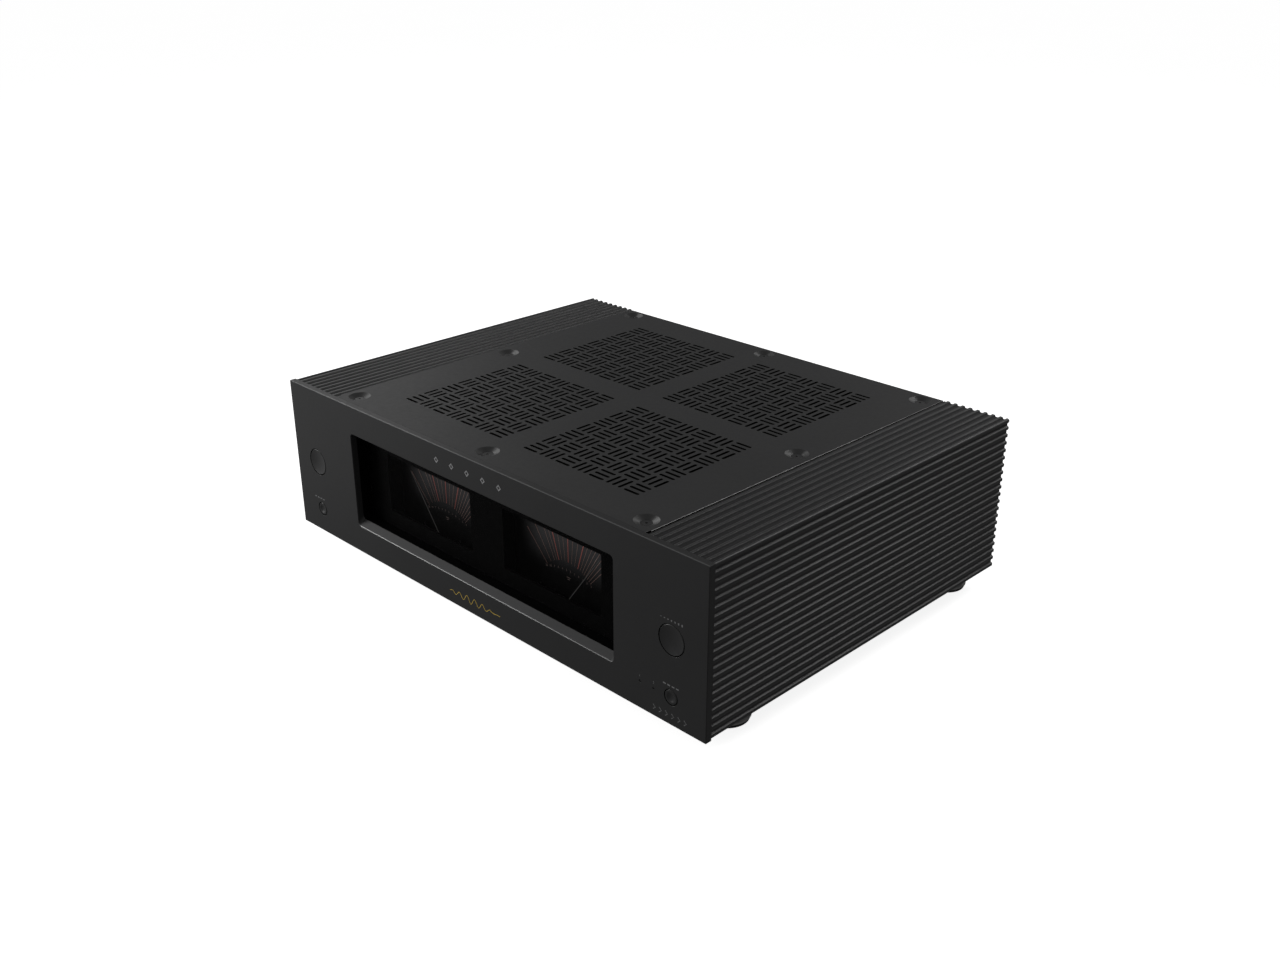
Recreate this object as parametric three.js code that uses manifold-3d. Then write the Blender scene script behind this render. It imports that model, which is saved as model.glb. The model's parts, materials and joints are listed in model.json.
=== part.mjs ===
// Stereo power amplifier with two needle meters, as an assembly of separate solids.
// Millimetres. The local frame has x to the right, y to the back from the front panel's face,
// and z up from the front panel's bottom edge. The outer group moves that frame so that the
// origin is the centre of the whole object's footprint, at the height its feet stand on.
import * as THREE from "three";
import { mergeGeometries, mergeVertices } from "three/addons/utils/BufferGeometryUtils.js";
import Module from "manifold-3d";

const wasm = await Module();
wasm.setup();

// ---- driving dimensions -------------------------------------------------------------------

const PANEL_WIDTH = 435;
const PANEL_HEIGHT = 119.5;
const PANEL_THICKNESS = 5;
const CLEARANCE_UNDER_PANEL = 15;
const GAP = 0.3; // between neighbouring pieces

const BODY_BOTTOM = 1;
const BODY_TOP = 119.1;
const BODY_FRONT = PANEL_THICKNESS + GAP;
const SINK_REAR = 318;
const COVER_REAR = 316.5;
const REAR_PANEL_FACE = 315;

const SINK_OUTER = 217; // half the width across the ridges
const SINK_INNER_EDGE = 163; // half the width of the opening for the top cover
const LIP_INNER_EDGE = 141; // half the width between the lips that carry the cover
const LIP_THICKNESS = 4;
const SINK_WALL = 6.8;
const RIDGE_HEIGHT = 1.3;
const RIDGE_WIDTH = 3.4;
const RIDGE_FLAT = 2.2; // the width of a ridge's flat crest
const SIDE_RIDGES = 21;
const SIDE_RIDGE_PITCH = 5.755;
const TOP_RIDGES = 8;
const TOP_RIDGE_PITCH = 6.25;
const TOP_RIDGE_FIRST = 166.5;

const COVER_THICKNESS = 4;
const FLANGE_TOP = BODY_TOP - COVER_THICKNESS - GAP; // what the cover rests on
const FLANGE_HALF_WIDTH = LIP_INNER_EDGE - 2;
const SHEET = 1.5;
const REAR_SHEET = 2;
const REAR_FLANGE = 17; // how far the rear panel reaches under the cover
const BOTTOM_SHEET = 2;
const FLOOR = BODY_BOTTOM + BOTTOM_SHEET + GAP; // what stands on the bottom plate
const WEB_TOP = 109; // the upright sheets pass under the heat sinks' top legs
const VENT_CENTRES_X = [-66.6, 66.6];
const VENT_CENTRES_Y = [93.8, 228.7];
const VENT_CELLS = 7; // cells along each side of a vent field
const VENT_PITCH = 16.08;
const SLOT_LENGTH = 13.3;
const SLOT_WIDTH = 2.3;
const SLOTS_PER_CELL = 3;

const SCREW_PLACES = [
  ["front_left", -150, 18],
  ["front_centre", 0, 18],
  ["front_right", 150, 18],
  ["middle_left", -149.5, 161.5],
  ["middle_right", 149.5, 161.5],
  ["rear_left", -150, 305.5],
  ["rear_centre", 0, 305.5],
  ["rear_right", 150, 305.5],
];
const DISH_RADIUS = 8.3;
const DISH_FLOOR_RADIUS = 4;
const DISH_DEPTH = 2;
const SCREW_HEAD_RADIUS = 3.7;
const SCREW_HEAD_HEIGHT = 1.2;
const SCREW_SHANK_RADIUS = 1.9;
const SCREW_LENGTH = 7.4;
const SCREW_HOLE_RADIUS = 2.2;

const WINDOW_HALF_WIDTH = 139;
const WINDOW_BOTTOM = 22.4;
const WINDOW_SILL_BACK = 26.7; // height of the sloped sill at the panel's back
const WINDOW_TOP = 97.3;
const WINDOW_CORNER = 3;
const BEZEL = { halfWidth: 144, bottom: 20, top: 103 };
const GLASS_FRONT = 10.5;
const GLASS_THICKNESS = 3;
const MASK_FRONT = 14;
const MASK_THICKNESS = 2;
const MASK_OPENING = { inner: 17.5, outer: 114, bottom: 38.5, top: 84 };
const SUBCHASSIS = { halfWidth: 160, ribFront: 20, ribBottom: 105 };

const METER_X = 65.75;
const METER_PIVOT_Z = 24;
const DIAL_FRONT = 29.5;
const DIAL_THICKNESS = 1.2;
const NEEDLE_FRONT = 24.2;
const NEEDLE_THICKNESS = 0.6;
const NEEDLE_WIDTH = 0.8;
const NEEDLE_LENGTH = 59;
const NEEDLE_TAIL = 8;
const NEEDLE_REST_DEGREES = { left: -36, right: 36.7 };
const HOUSING_HALF_WIDTH = 56.7;
const HOUSING_BOTTOM = 13;
const HOUSING_TOP = 93;
const HOUSING_BACK = 52;
const HOUSING_WALL = 2;

const BUTTON_X = 188.5;
const LARGE_BUTTON = { radius: 10.2, height: 59.5, flange: 12, dish: 0.9 };
const SMALL_BUTTON = { radius: 5.1, height: 19.8, flange: 6.6, dish: 0.6 };
const BUTTON_GAP = 0.55;
const BUTTON_FLANGE_THICKNESS = 1.5;
const BUTTON_BOARD_FRONT = 15;
const STEM_BACK = BUTTON_BOARD_FRONT - 5.4; // leaves room for the switch and the travel
const BOARD_THICKNESS = 1.6;
const INDICATOR_PLACES = [
  ["indicator_a", 162.2],
  ["indicator_b", 174],
];
const INDICATOR_HEIGHT = 19.8;
const INDICATOR_RADIUS = 0.7;
const INDICATOR_BASE = { radius: 1.6, back: 9 };

const FOOT_RADIUS = 16.4;
const FOOT_X = 190.7;
const FOOT_PLACES_Y = { front: 48.7, rear: 295.5 };
const FOOT_CHAMFER = 1.5;

const TERMINAL_CENTRE_X = 112;
const TERMINAL_PITCH = 22;
const TERMINAL_HEIGHT = 44;
const CAP_RADIUS = 8;
const CAP_LENGTH = 15;
const CAP_FRONT = REAR_PANEL_FACE + GAP + 5 + GAP;
const OVERALL_DEPTH = CAP_FRONT + CAP_LENGTH;

// ---- colours ------------------------------------------------------------------------------

const finish = (color, roughness, metalness) =>
  new THREE.MeshStandardMaterial({ color, roughness, metalness });
const FINISHES = {
  panel: () => finish(0x2c2c2e, 0.45, 0.7),
  sink: () => finish(0x2a2a2c, 0.4, 0.8),
  sheet: () => finish(0x303033, 0.55, 0.5),
  steel: () => finish(0x8c8f93, 0.4, 0.9),
  screw: () => finish(0x3a3a3c, 0.35, 0.9),
  plastic: () => finish(0x0c0c0d, 0.6, 0),
  glass: () => finish(0x101214, 0.05, 0),
  dial: () => finish(0x34343a, 0.6, 0),
  needle: () => finish(0x9a9a98, 0.5, 0.2),
  board: () => finish(0x14402a, 0.5, 0.1),
  sleeve: () => finish(0x22314f, 0.4, 0.1),
  copper: () => finish(0x8c5a2a, 0.4, 0.6),
  gold: () => finish(0xb08d45, 0.3, 1),
  light: () => finish(0xd8d8d0, 0.3, 0),
  rubber: () => finish(0x111112, 0.8, 0),
};

// ---- solids -------------------------------------------------------------------------------

// A closed three.js geometry as a manifold-3d solid with its faces pointing out.
function solid(geometry) {
  const bare = geometry.clone();
  bare.deleteAttribute("normal");
  bare.deleteAttribute("uv");
  const merged = mergeVertices(bare, 1e-4);
  const faces = new Uint32Array(merged.index.array);
  const make = (triVerts) =>
    new wasm.Manifold(
      new wasm.Mesh({
        numProp: 3,
        vertProperties: new Float32Array(merged.attributes.position.array),
        triVerts,
      }),
    );
  const made = make(faces);
  return made.volume() > 0 ? made : make(faces.reverse());
}

function box(x0, x1, y0, y1, z0, z1) {
  const shape = new THREE.BoxGeometry(x1 - x0, y1 - y0, z1 - z0);
  return solid(shape.translate((x0 + x1) / 2, (y0 + y1) / 2, (z0 + z1) / 2));
}

// A cylinder along y, from y0 to y1.
function rodY(radius, y0, y1, x, z, sides = 24) {
  const shape = new THREE.CylinderGeometry(radius, radius, y1 - y0, sides);
  return solid(shape.translate(x, (y0 + y1) / 2, z));
}

// A cylinder along z, from z0 to z1.
function rodZ(radius, z0, z1, x, y, sides = 24) {
  const shape = new THREE.CylinderGeometry(radius, radius, z1 - z0, sides);
  return solid(shape.rotateX(Math.PI / 2).translate(x, y, (z0 + z1) / 2));
}

// A turned piece along y: the profile is [radius, y] pairs that start and end on the axis.
function turnedY(profile, x, z, sides = 24) {
  const points = profile.map(([radius, y]) => new THREE.Vector2(radius, y));
  return solid(new THREE.LatheGeometry(points, sides).translate(x, 0, z));
}

// A turned piece along z: the profile is [radius, z] pairs that start and end on the axis.
function turnedZ(profile, x, y, sides = 24) {
  const points = profile.map(([radius, z]) => new THREE.Vector2(radius, z));
  const shape = new THREE.LatheGeometry(points, sides).rotateX(Math.PI / 2);
  return solid(shape.translate(x, y, 0));
}

// An outline of [x, z] points pushed along y, from y0 to y1.
function extrudedY(outline, y0, y1) {
  const shape = new THREE.Shape(outline.map(([x, z]) => new THREE.Vector2(x, z)));
  const made = new THREE.ExtrudeGeometry(shape, { depth: y1 - y0, bevelEnabled: false });
  return solid(made.rotateX(Math.PI / 2).translate(0, y1, 0));
}

// An outline of [y, z] points pushed along x, from x0 to x1.
function extrudedX(outline, x0, x1) {
  const shape = new THREE.Shape(outline.map(([y, z]) => new THREE.Vector2(y, z)));
  const made = new THREE.ExtrudeGeometry(shape, { depth: x1 - x0, bevelEnabled: false });
  return solid(made.rotateX(Math.PI / 2).rotateZ(Math.PI / 2).translate(x0, 0, 0));
}

// A rectangle with round corners in the xz plane, as a list of points.
function roundedRectangle(x0, x1, z0, z1, radius) {
  const corners = [
    [x1 - radius, z0 + radius, -90],
    [x1 - radius, z1 - radius, 0],
    [x0 + radius, z1 - radius, 90],
    [x0 + radius, z0 + radius, 180],
  ];
  return corners.flatMap(([cx, cz, start]) =>
    [0, 30, 60, 90].map((step) => {
      const angle = THREE.MathUtils.degToRad(start + step);
      return [cx + radius * Math.cos(angle), cz + radius * Math.sin(angle)];
    }),
  );
}

const cut = (body, ...tools) => tools.reduce((left, tool) => left.subtract(tool), body);
const join = (body, ...others) => others.reduce((left, other) => left.add(other), body);

const amplifier = new THREE.Group();
amplifier.position.set(0, -OVERALL_DEPTH / 2, CLEARANCE_UNDER_PANEL);

// Adds a solid to the amplifier as a named mesh.
function addPart(name, finishName, body) {
  const mesh = body.getMesh();
  const geometry = new THREE.BufferGeometry();
  geometry.setAttribute("position", new THREE.BufferAttribute(mesh.vertProperties, 3));
  geometry.setIndex(new THREE.BufferAttribute(mesh.triVerts, 1));
  geometry.computeVertexNormals();
  const part = new THREE.Mesh(geometry, FINISHES[finishName]());
  part.name = name;
  amplifier.add(part);
  return part;
}

// ---- front --------------------------------------------------------------------------------

function frontPanel() {
  const half = PANEL_WIDTH / 2;
  const back = PANEL_THICKNESS + 1;
  const plate = box(-half, half, 0, PANEL_THICKNESS, 0, PANEL_HEIGHT);
  const opening = extrudedY(
    roundedRectangle(
      -WINDOW_HALF_WIDTH, WINDOW_HALF_WIDTH, WINDOW_BOTTOM, WINDOW_TOP, WINDOW_CORNER,
    ),
    -1, back,
  );
  const sill = extrudedX(
    [[0, WINDOW_BOTTOM - 1], [0, WINDOW_BOTTOM], [PANEL_THICKNESS, WINDOW_SILL_BACK],
      [PANEL_THICKNESS, WINDOW_BOTTOM - 1]],
    -WINDOW_HALF_WIDTH - 1, WINDOW_HALF_WIDTH + 1,
  );
  const holes = [-1, 1].flatMap((side) =>
    [LARGE_BUTTON, SMALL_BUTTON].map(({ radius, height }) =>
      rodY(radius + BUTTON_GAP, -1, back, side * BUTTON_X, height, 24),
    ),
  );
  const lightHoles = INDICATOR_PLACES.map(([, x]) =>
    rodY(INDICATOR_RADIUS + 0.1, -1, back, x, INDICATOR_HEIGHT, 12),
  );
  return cut(join(cut(plate, opening), sill), ...holes, ...lightHoles);
}

// A push button: a dished cap flush with the panel, a flange behind it and a stem.
function button(side, { radius, height, flange, dish }, stemRadius) {
  const flangeFront = PANEL_THICKNESS + GAP;
  const flangeBack = flangeFront + BUTTON_FLANGE_THICKNESS;
  const profile = [
    [0, dish], [radius * 0.5, dish * 0.75], [radius * 0.85, dish * 0.25], [radius - 0.3, 0],
    [radius, 0.3], [radius, flangeFront], [flange, flangeFront], [flange, flangeBack],
    [stemRadius, flangeBack], [stemRadius, STEM_BACK], [0, STEM_BACK],
  ];
  return turnedY(profile, side * BUTTON_X, height, 24);
}

// The board behind a large and a small button, with the two switches they press.
function buttonBoard(side) {
  const x = side * BUTTON_X;
  const front = BUTTON_BOARD_FRONT;
  const board = box(x - 13, x + 13, front, front + BOARD_THICKNESS, 8, 76);
  const switches = [LARGE_BUTTON, SMALL_BUTTON].map(({ height }) =>
    box(x - 3, x + 3, front - 3, front + 0.4, height - 3, height + 3),
  );
  return join(board, ...switches);
}

function indicator(x) {
  const { radius, back } = INDICATOR_BASE;
  const profile = [
    [0, 0], [INDICATOR_RADIUS, 0.2], [INDICATOR_RADIUS, BODY_FRONT], [radius, BODY_FRONT],
    [radius, back], [0, back],
  ];
  return turnedY(profile, x, INDICATOR_HEIGHT, 12);
}

// The black frame behind the window: a tray for the glass and a mask with two openings.
function meterBezel() {
  const back = MASK_FRONT + MASK_THICKNESS;
  const { halfWidth } = BEZEL;
  const frame = box(-halfWidth, halfWidth, BODY_FRONT, back, BEZEL.bottom, BEZEL.top);
  const pocket = box(
    -WINDOW_HALF_WIDTH - 0.5, WINDOW_HALF_WIDTH + 0.5, 0, MASK_FRONT,
    WINDOW_SILL_BACK, WINDOW_TOP + 0.5,
  );
  const { inner, outer, bottom, top } = MASK_OPENING;
  const openings = [-1, 1].map((side) => {
    const ends = [side * inner, side * outer];
    return box(Math.min(...ends), Math.max(...ends), 0, back + 1, bottom, top);
  });
  return cut(frame, pocket, ...openings);
}

function windowGlass() {
  return box(
    -WINDOW_HALF_WIDTH, WINDOW_HALF_WIDTH, GLASS_FRONT, GLASS_FRONT + GLASS_THICKNESS,
    WINDOW_SILL_BACK + 0.5, WINDOW_TOP,
  );
}

// A folded sheet behind the meters: an upright web and a flange under the front of the cover.
function frontSubchassis() {
  const front = HOUSING_BACK + 2;
  const back = front + SHEET;
  const edge = FLANGE_HALF_WIDTH;
  const under = FLANGE_TOP - SHEET;
  const { halfWidth, ribFront, ribBottom } = SUBCHASSIS;
  const web = box(-halfWidth, halfWidth, front, back, FLOOR + GAP, WEB_TOP);
  const rise = box(-edge, edge, front, back, WEB_TOP - 1, FLANGE_TOP);
  const flange = box(-edge, edge, BODY_FRONT + 1, back, under, FLANGE_TOP);
  const ribs = [-edge, edge - SHEET].map((x) =>
    box(x, x + SHEET, ribFront, back, ribBottom, FLANGE_TOP),
  );
  const screwHole = rodZ(SCREW_HOLE_RADIUS, under - 1, BODY_TOP, 0, 18, 12);
  return cut(join(web, rise, flange, ...ribs), screwHole);
}

// ---- meters -------------------------------------------------------------------------------

// A tray, open to the front, with the magnet core of the movement standing in it.
function meterHousing(centre) {
  const front = MASK_FRONT + MASK_THICKNESS + GAP;
  const shell = box(
    centre - HOUSING_HALF_WIDTH, centre + HOUSING_HALF_WIDTH, front, HOUSING_BACK,
    HOUSING_BOTTOM, HOUSING_TOP,
  );
  const hollow = box(
    centre - HOUSING_HALF_WIDTH + HOUSING_WALL, centre + HOUSING_HALF_WIDTH - HOUSING_WALL,
    front - 1, HOUSING_BACK - HOUSING_WALL,
    HOUSING_BOTTOM + HOUSING_WALL, HOUSING_TOP - HOUSING_WALL,
  );
  const core = rodY(8.5, DIAL_FRONT + 3, HOUSING_BACK - 1, centre, METER_PIVOT_Z, 16);
  const bearing = rodY(1.5, 0, HOUSING_BACK - 5, centre, METER_PIVOT_Z, 16);
  return cut(join(cut(shell, hollow), core), bearing);
}

function meterDial(centre) {
  const margin = HOUSING_WALL + GAP;
  const plate = box(
    centre - HOUSING_HALF_WIDTH + margin, centre + HOUSING_HALF_WIDTH - margin,
    DIAL_FRONT, DIAL_FRONT + DIAL_THICKNESS, HOUSING_BOTTOM + margin, HOUSING_TOP - margin,
  );
  return cut(plate, rodY(2.6, DIAL_FRONT - 1, DIAL_FRONT + 3, centre, METER_PIVOT_Z, 20));
}

// The needle stands upright about its pivot here, and the mesh's rotation turns it to rest.
function meterNeedle() {
  const back = NEEDLE_FRONT + NEEDLE_THICKNESS;
  const half = NEEDLE_WIDTH / 2;
  const pointer = extrudedY(
    [[-half, 0], [half, 0], [half * 0.6, NEEDLE_LENGTH], [-half * 0.6, NEEDLE_LENGTH]],
    NEEDLE_FRONT, back,
  );
  const tail = box(-1.1, 1.1, NEEDLE_FRONT, back, -NEEDLE_TAIL, 0);
  const hub = rodY(3.6, NEEDLE_FRONT - 0.6, back + 0.6, 0, 0, 16);
  const shaft = rodY(1.1, back, HOUSING_BACK - 6, 0, 0, 16);
  return join(pointer, tail, hub, shaft);
}

// ---- body ---------------------------------------------------------------------------------

// One ridge of the side face, as [x, z] points from its lower to its upper foot.
function sideRidge(z) {
  const base = SINK_OUTER - RIDGE_HEIGHT;
  const half = RIDGE_WIDTH / 2;
  const crest = RIDGE_FLAT / 2;
  return [[base, z - half], [SINK_OUTER, z - crest], [SINK_OUTER, z + crest], [base, z + half]];
}

// One ridge of the top face, as [x, z] points from its outer to its inner foot.
function topRidge(x) {
  const base = BODY_TOP - RIDGE_HEIGHT;
  const half = RIDGE_WIDTH / 2;
  const crest = RIDGE_FLAT / 2;
  return [[x + half, base], [x + crest, BODY_TOP], [x - crest, BODY_TOP], [x - half, base]];
}

// The L-shaped section of the right heat sink: ribbed side, ribbed top and the cover's lip.
function sinkOutline() {
  const half = RIDGE_WIDTH / 2;
  const lipTop = FLANGE_TOP;
  const inner = SINK_OUTER - RIDGE_HEIGHT - SINK_WALL;
  const under = BODY_TOP - RIDGE_HEIGHT - SINK_WALL;
  const side = Array.from({ length: SIDE_RIDGES - 1 }, (_, k) =>
    sideRidge(BODY_BOTTOM + half + k * SIDE_RIDGE_PITCH),
  ).flat();
  const corner = [
    [SINK_OUTER - RIDGE_HEIGHT, BODY_TOP - RIDGE_WIDTH], [SINK_OUTER, BODY_TOP - half],
    [SINK_OUTER - 0.6, BODY_TOP - 0.6], [SINK_OUTER - half, BODY_TOP],
    [SINK_OUTER - RIDGE_WIDTH, BODY_TOP - RIDGE_HEIGHT],
  ];
  const top = Array.from({ length: TOP_RIDGES }, (_, k) =>
    topRidge(TOP_RIDGE_FIRST + (TOP_RIDGES - 1 - k) * TOP_RIDGE_PITCH),
  ).flat();
  return [
    [inner, BODY_BOTTOM], ...side, ...corner, ...top,
    [SINK_INNER_EDGE, BODY_TOP - RIDGE_HEIGHT], [SINK_INNER_EDGE, lipTop],
    [LIP_INNER_EDGE, lipTop], [LIP_INNER_EDGE, lipTop - LIP_THICKNESS],
    [SINK_INNER_EDGE, lipTop - LIP_THICKNESS], [SINK_INNER_EDGE, under - 1],
    [inner, under - 1],
  ];
}

function heatSink(side) {
  const outline = sinkOutline().map(([x, z]) => [side * x, z]);
  const bar = extrudedY(side > 0 ? outline : outline.reverse(), BODY_FRONT, SINK_REAR);
  const holes = SCREW_PLACES.filter(([, x]) => x * side > 0).map(([, x, y]) =>
    rodZ(SCREW_HOLE_RADIUS, BODY_TOP - 12, BODY_TOP, x, y, 12),
  );
  return cut(bar, ...holes);
}

// The slots of all four vent fields, as boxes: rows along x and along y change places from
// cell to cell.
function ventSlots() {
  const middle = (VENT_CELLS - 1) / 2;
  const slots = [];
  for (const centreX of VENT_CENTRES_X)
    for (const centreY of VENT_CENTRES_Y)
      for (let column = 0; column < VENT_CELLS; column++)
        for (let row = 0; row < VENT_CELLS; row++)
          for (let slot = 0; slot < SLOTS_PER_CELL; slot++) {
            const aside = ((slot - (SLOTS_PER_CELL - 1) / 2) * VENT_PITCH) / 3;
            const alongX = (column + row) % 2 === 0;
            const x = centreX + (column - middle) * VENT_PITCH + (alongX ? 0 : aside);
            const y = centreY + (row - middle) * VENT_PITCH + (alongX ? aside : 0);
            const size = alongX ? [SLOT_LENGTH, SLOT_WIDTH] : [SLOT_WIDTH, SLOT_LENGTH];
            const shape = new THREE.BoxGeometry(...size, COVER_THICKNESS + 2);
            slots.push(shape.translate(x, y, BODY_TOP - COVER_THICKNESS / 2));
          }
  return solid(mergeGeometries(slots));
}

// The recess and the hole of one cover screw.
function screwRecess(x, y) {
  const floor = BODY_TOP - DISH_DEPTH;
  const seat = floor - SCREW_HEAD_HEIGHT;
  const slope = (DISH_RADIUS - DISH_FLOOR_RADIUS) / DISH_DEPTH;
  return turnedZ(
    [[0, BODY_TOP + 1], [DISH_RADIUS + slope, BODY_TOP + 1], [DISH_FLOOR_RADIUS, floor],
      [DISH_FLOOR_RADIUS, seat], [SCREW_HOLE_RADIUS, seat],
      [SCREW_HOLE_RADIUS, BODY_TOP - COVER_THICKNESS - 1], [0, BODY_TOP - COVER_THICKNESS - 1]],
    x, y, 12,
  );
}

function topCover() {
  const half = SINK_INNER_EDGE - GAP;
  const plate = box(
    -half, half, BODY_FRONT, COVER_REAR, BODY_TOP - COVER_THICKNESS, BODY_TOP,
  );
  const recesses = SCREW_PLACES.map(([, x, y]) => screwRecess(x, y));
  return cut(plate, ventSlots(), ...recesses);
}

function coverScrew(x, y) {
  const face = BODY_TOP - DISH_DEPTH;
  const seat = face - SCREW_HEAD_HEIGHT + 0.05;
  const end = face - SCREW_LENGTH;
  return turnedZ(
    [[0, face - 0.8], [1, face - 0.8], [1, face], [SCREW_HEAD_RADIUS, face],
      [SCREW_HEAD_RADIUS, seat], [SCREW_SHANK_RADIUS, seat], [SCREW_SHANK_RADIUS, end], [0, end]],
    x, y, 12,
  );
}

function bottomPlate() {
  const half = SINK_OUTER - RIDGE_HEIGHT - SINK_WALL - GAP;
  return box(-half, half, BODY_FRONT, REAR_PANEL_FACE, BODY_BOTTOM, BODY_BOTTOM + BOTTOM_SHEET);
}

// The rear panel, with a flange under the back of the cover and holes for the sockets.
function rearPanel() {
  const half = SINK_OUTER - RIDGE_HEIGHT - SINK_WALL - GAP;
  const front = REAR_PANEL_FACE - REAR_SHEET;
  const edge = FLANGE_HALF_WIDTH;
  const under = FLANGE_TOP - SHEET;
  const web = box(-half, half, front, REAR_PANEL_FACE, FLOOR, WEB_TOP);
  const rise = box(-edge, edge, front, REAR_PANEL_FACE, WEB_TOP - 1, FLANGE_TOP);
  const flange = box(-edge, edge, REAR_PANEL_FACE - REAR_FLANGE, REAR_PANEL_FACE, under, FLANGE_TOP);
  const screwHole = rodZ(SCREW_HOLE_RADIUS, under - 1, BODY_TOP, 0, 305.5, 12);
  const roundHole = (radius, x, z) => rodY(radius + 0.5, REAR_CUT_FRONT, REAR_CUT_BACK, x, z);
  return cut(
    join(web, rise, flange), screwHole, inletCutout(), switchCutout(),
    ...[-1, 1].map((side) => roundHole(PHONO_RADIUS, side * PHONO_X, PHONO_Z)),
    ...[-1, 1].map((side) => roundHole(BALANCED_RADIUS, side * BALANCED_X, BALANCED_Z)),
  );
}

function foot(x, y) {
  const top = BODY_BOTTOM - GAP;
  const ground = -CLEARANCE_UNDER_PANEL;
  return turnedZ(
    [[0, ground], [FOOT_RADIUS - FOOT_CHAMFER, ground], [FOOT_RADIUS, ground + FOOT_CHAMFER],
      [FOOT_RADIUS, top - FOOT_CHAMFER], [FOOT_RADIUS - FOOT_CHAMFER, top], [0, top]],
    x, y, 20,
  );
}

// ---- inside -------------------------------------------------------------------------------

const TRANSFORMER = { x: 0, y: 128, inner: 20, outer: 66, height: 62 };
const CAPACITOR = { radius: 27, height: 72, places: [-62, 62], y: 238 };
const SUPPLY_BOARD_RISE = 6;

function transformer() {
  const { x, y, inner, outer, height } = TRANSFORMER;
  const bottom = FLOOR + 2;
  const profile = [
    [inner, bottom + 5], [inner + 5, bottom], [outer - 8, bottom], [outer, bottom + 8],
    [outer, bottom + height - 8], [outer - 8, bottom + height], [inner + 5, bottom + height],
    [inner, bottom + height - 5], [inner, bottom + 5],
  ];
  return turnedZ(profile, x, y, 24);
}

// The dished washer and centre bolt that hold the transformer down.
function transformerClamp() {
  const { x, y, inner, height } = TRANSFORMER;
  const top = FLOOR + 2 + height + GAP;
  return turnedZ(
    [[0, FLOOR], [4, FLOOR], [4, top], [inner + 14, top], [inner + 14, top + 2], [7, top + 2],
      [7, top + 8], [0, top + 8]],
    x, y, 20,
  );
}

function powerSupplyBoard() {
  const bottom = FLOOR + SUPPLY_BOARD_RISE;
  const board = box(-110, 110, 204, 286, bottom, bottom + BOARD_THICKNESS);
  const posts = [-104, 104].flatMap((x) =>
    [210, 280].map((y) => rodZ(3, FLOOR, bottom + 0.5, x, y, 10)),
  );
  const rectifier = box(-14, 14, 224, 252, bottom + 1, bottom + 12);
  const fuses = [262, 274].map((y) => box(-14, 14, y, y + 7, bottom + 1, bottom + 9));
  return join(board, ...posts, rectifier, ...fuses);
}

function capacitor(x) {
  const bottom = FLOOR + SUPPLY_BOARD_RISE + BOARD_THICKNESS + GAP;
  const top = bottom + CAPACITOR.height;
  const { radius, y } = CAPACITOR;
  return turnedZ(
    [[0, bottom], [radius - 1, bottom], [radius, bottom + 1], [radius, top - 1],
      [radius - 1, top], [radius - 3, top], [radius - 3, top - 0.8], [0, top - 0.8]],
    x, y, 24,
  );
}

// The upright amplifier board beside a heat sink, with its driver parts.
function amplifierBoard(side) {
  const slab = (x0, x1, y0, y1, z0, z1) =>
    box(Math.min(side * x0, side * x1), Math.max(side * x0, side * x1), y0, y1, z0, z1);
  const board = slab(176, 177.6, 74, 262, 12, 104);
  const coil = rodY(9, 96, 116, side * 167.5, 34, 16);
  const relay = slab(160, 176.5, 130, 158, 20, 44);
  const blocks = [178, 196, 214, 232].map((y) => slab(164, 176.5, y, y + 10, 24, 42));
  const feet = [84, 248].map((y) => slab(168, 177.6, y, y + 6, FLOOR, 16));
  return join(board, coil, relay, ...blocks, ...feet);
}

// The power transistor module and its clamping bar, against the inner wall of a heat sink.
function outputModule(side) {
  const wall = SINK_OUTER - RIDGE_HEIGHT - SINK_WALL - GAP;
  const slab = (x0, x1, y0, y1, z0, z1) =>
    box(Math.min(side * x0, side * x1), Math.max(side * x0, side * x1), y0, y1, z0, z1);
  const bar = slab(wall - 9, wall - 5, 96, 240, 56, 66);
  const devices = [104, 136, 176, 208].map((y) => slab(wall - 5.5, wall, y, y + 20, 48, 74));
  return join(bar, ...devices);
}

function inputBoard() {
  const board = box(-60, 60, 286.6, 288.2, 48, 100);
  const chips = [-36, -6, 24].map((x) => box(x, x + 12, 284.6, 287, 58, 64));
  return join(board, ...chips);
}

// ---- rear ---------------------------------------------------------------------------------

const INLET = { x: -184, z: 40, width: 28, height: 20.4 };
const PHONO_X = 10;
const PHONO_Z = 62;
const PHONO_RADIUS = 4.2;
const BALANCED_X = 42;
const BALANCED_Z = 70;
const BALANCED_RADIUS = 11;
const SWITCH = { x: 0, z: 88, travel: 4 };
const REAR_CUT_FRONT = REAR_PANEL_FACE - 15; // how far the rear panel's cutouts reach
const REAR_CUT_BACK = REAR_PANEL_FACE + 5;

function inletCutout() {
  const { x, z, width, height } = INLET;
  return box(
    x - width / 2, x + width / 2, REAR_CUT_FRONT, REAR_CUT_BACK, z - height / 2, z + height / 2,
  );
}

function switchCutout() {
  const { x, z } = SWITCH;
  return box(x - 4.6, x + 4.6, REAR_CUT_FRONT, REAR_CUT_BACK, z - 2.4, z + 2.4);
}

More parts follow.
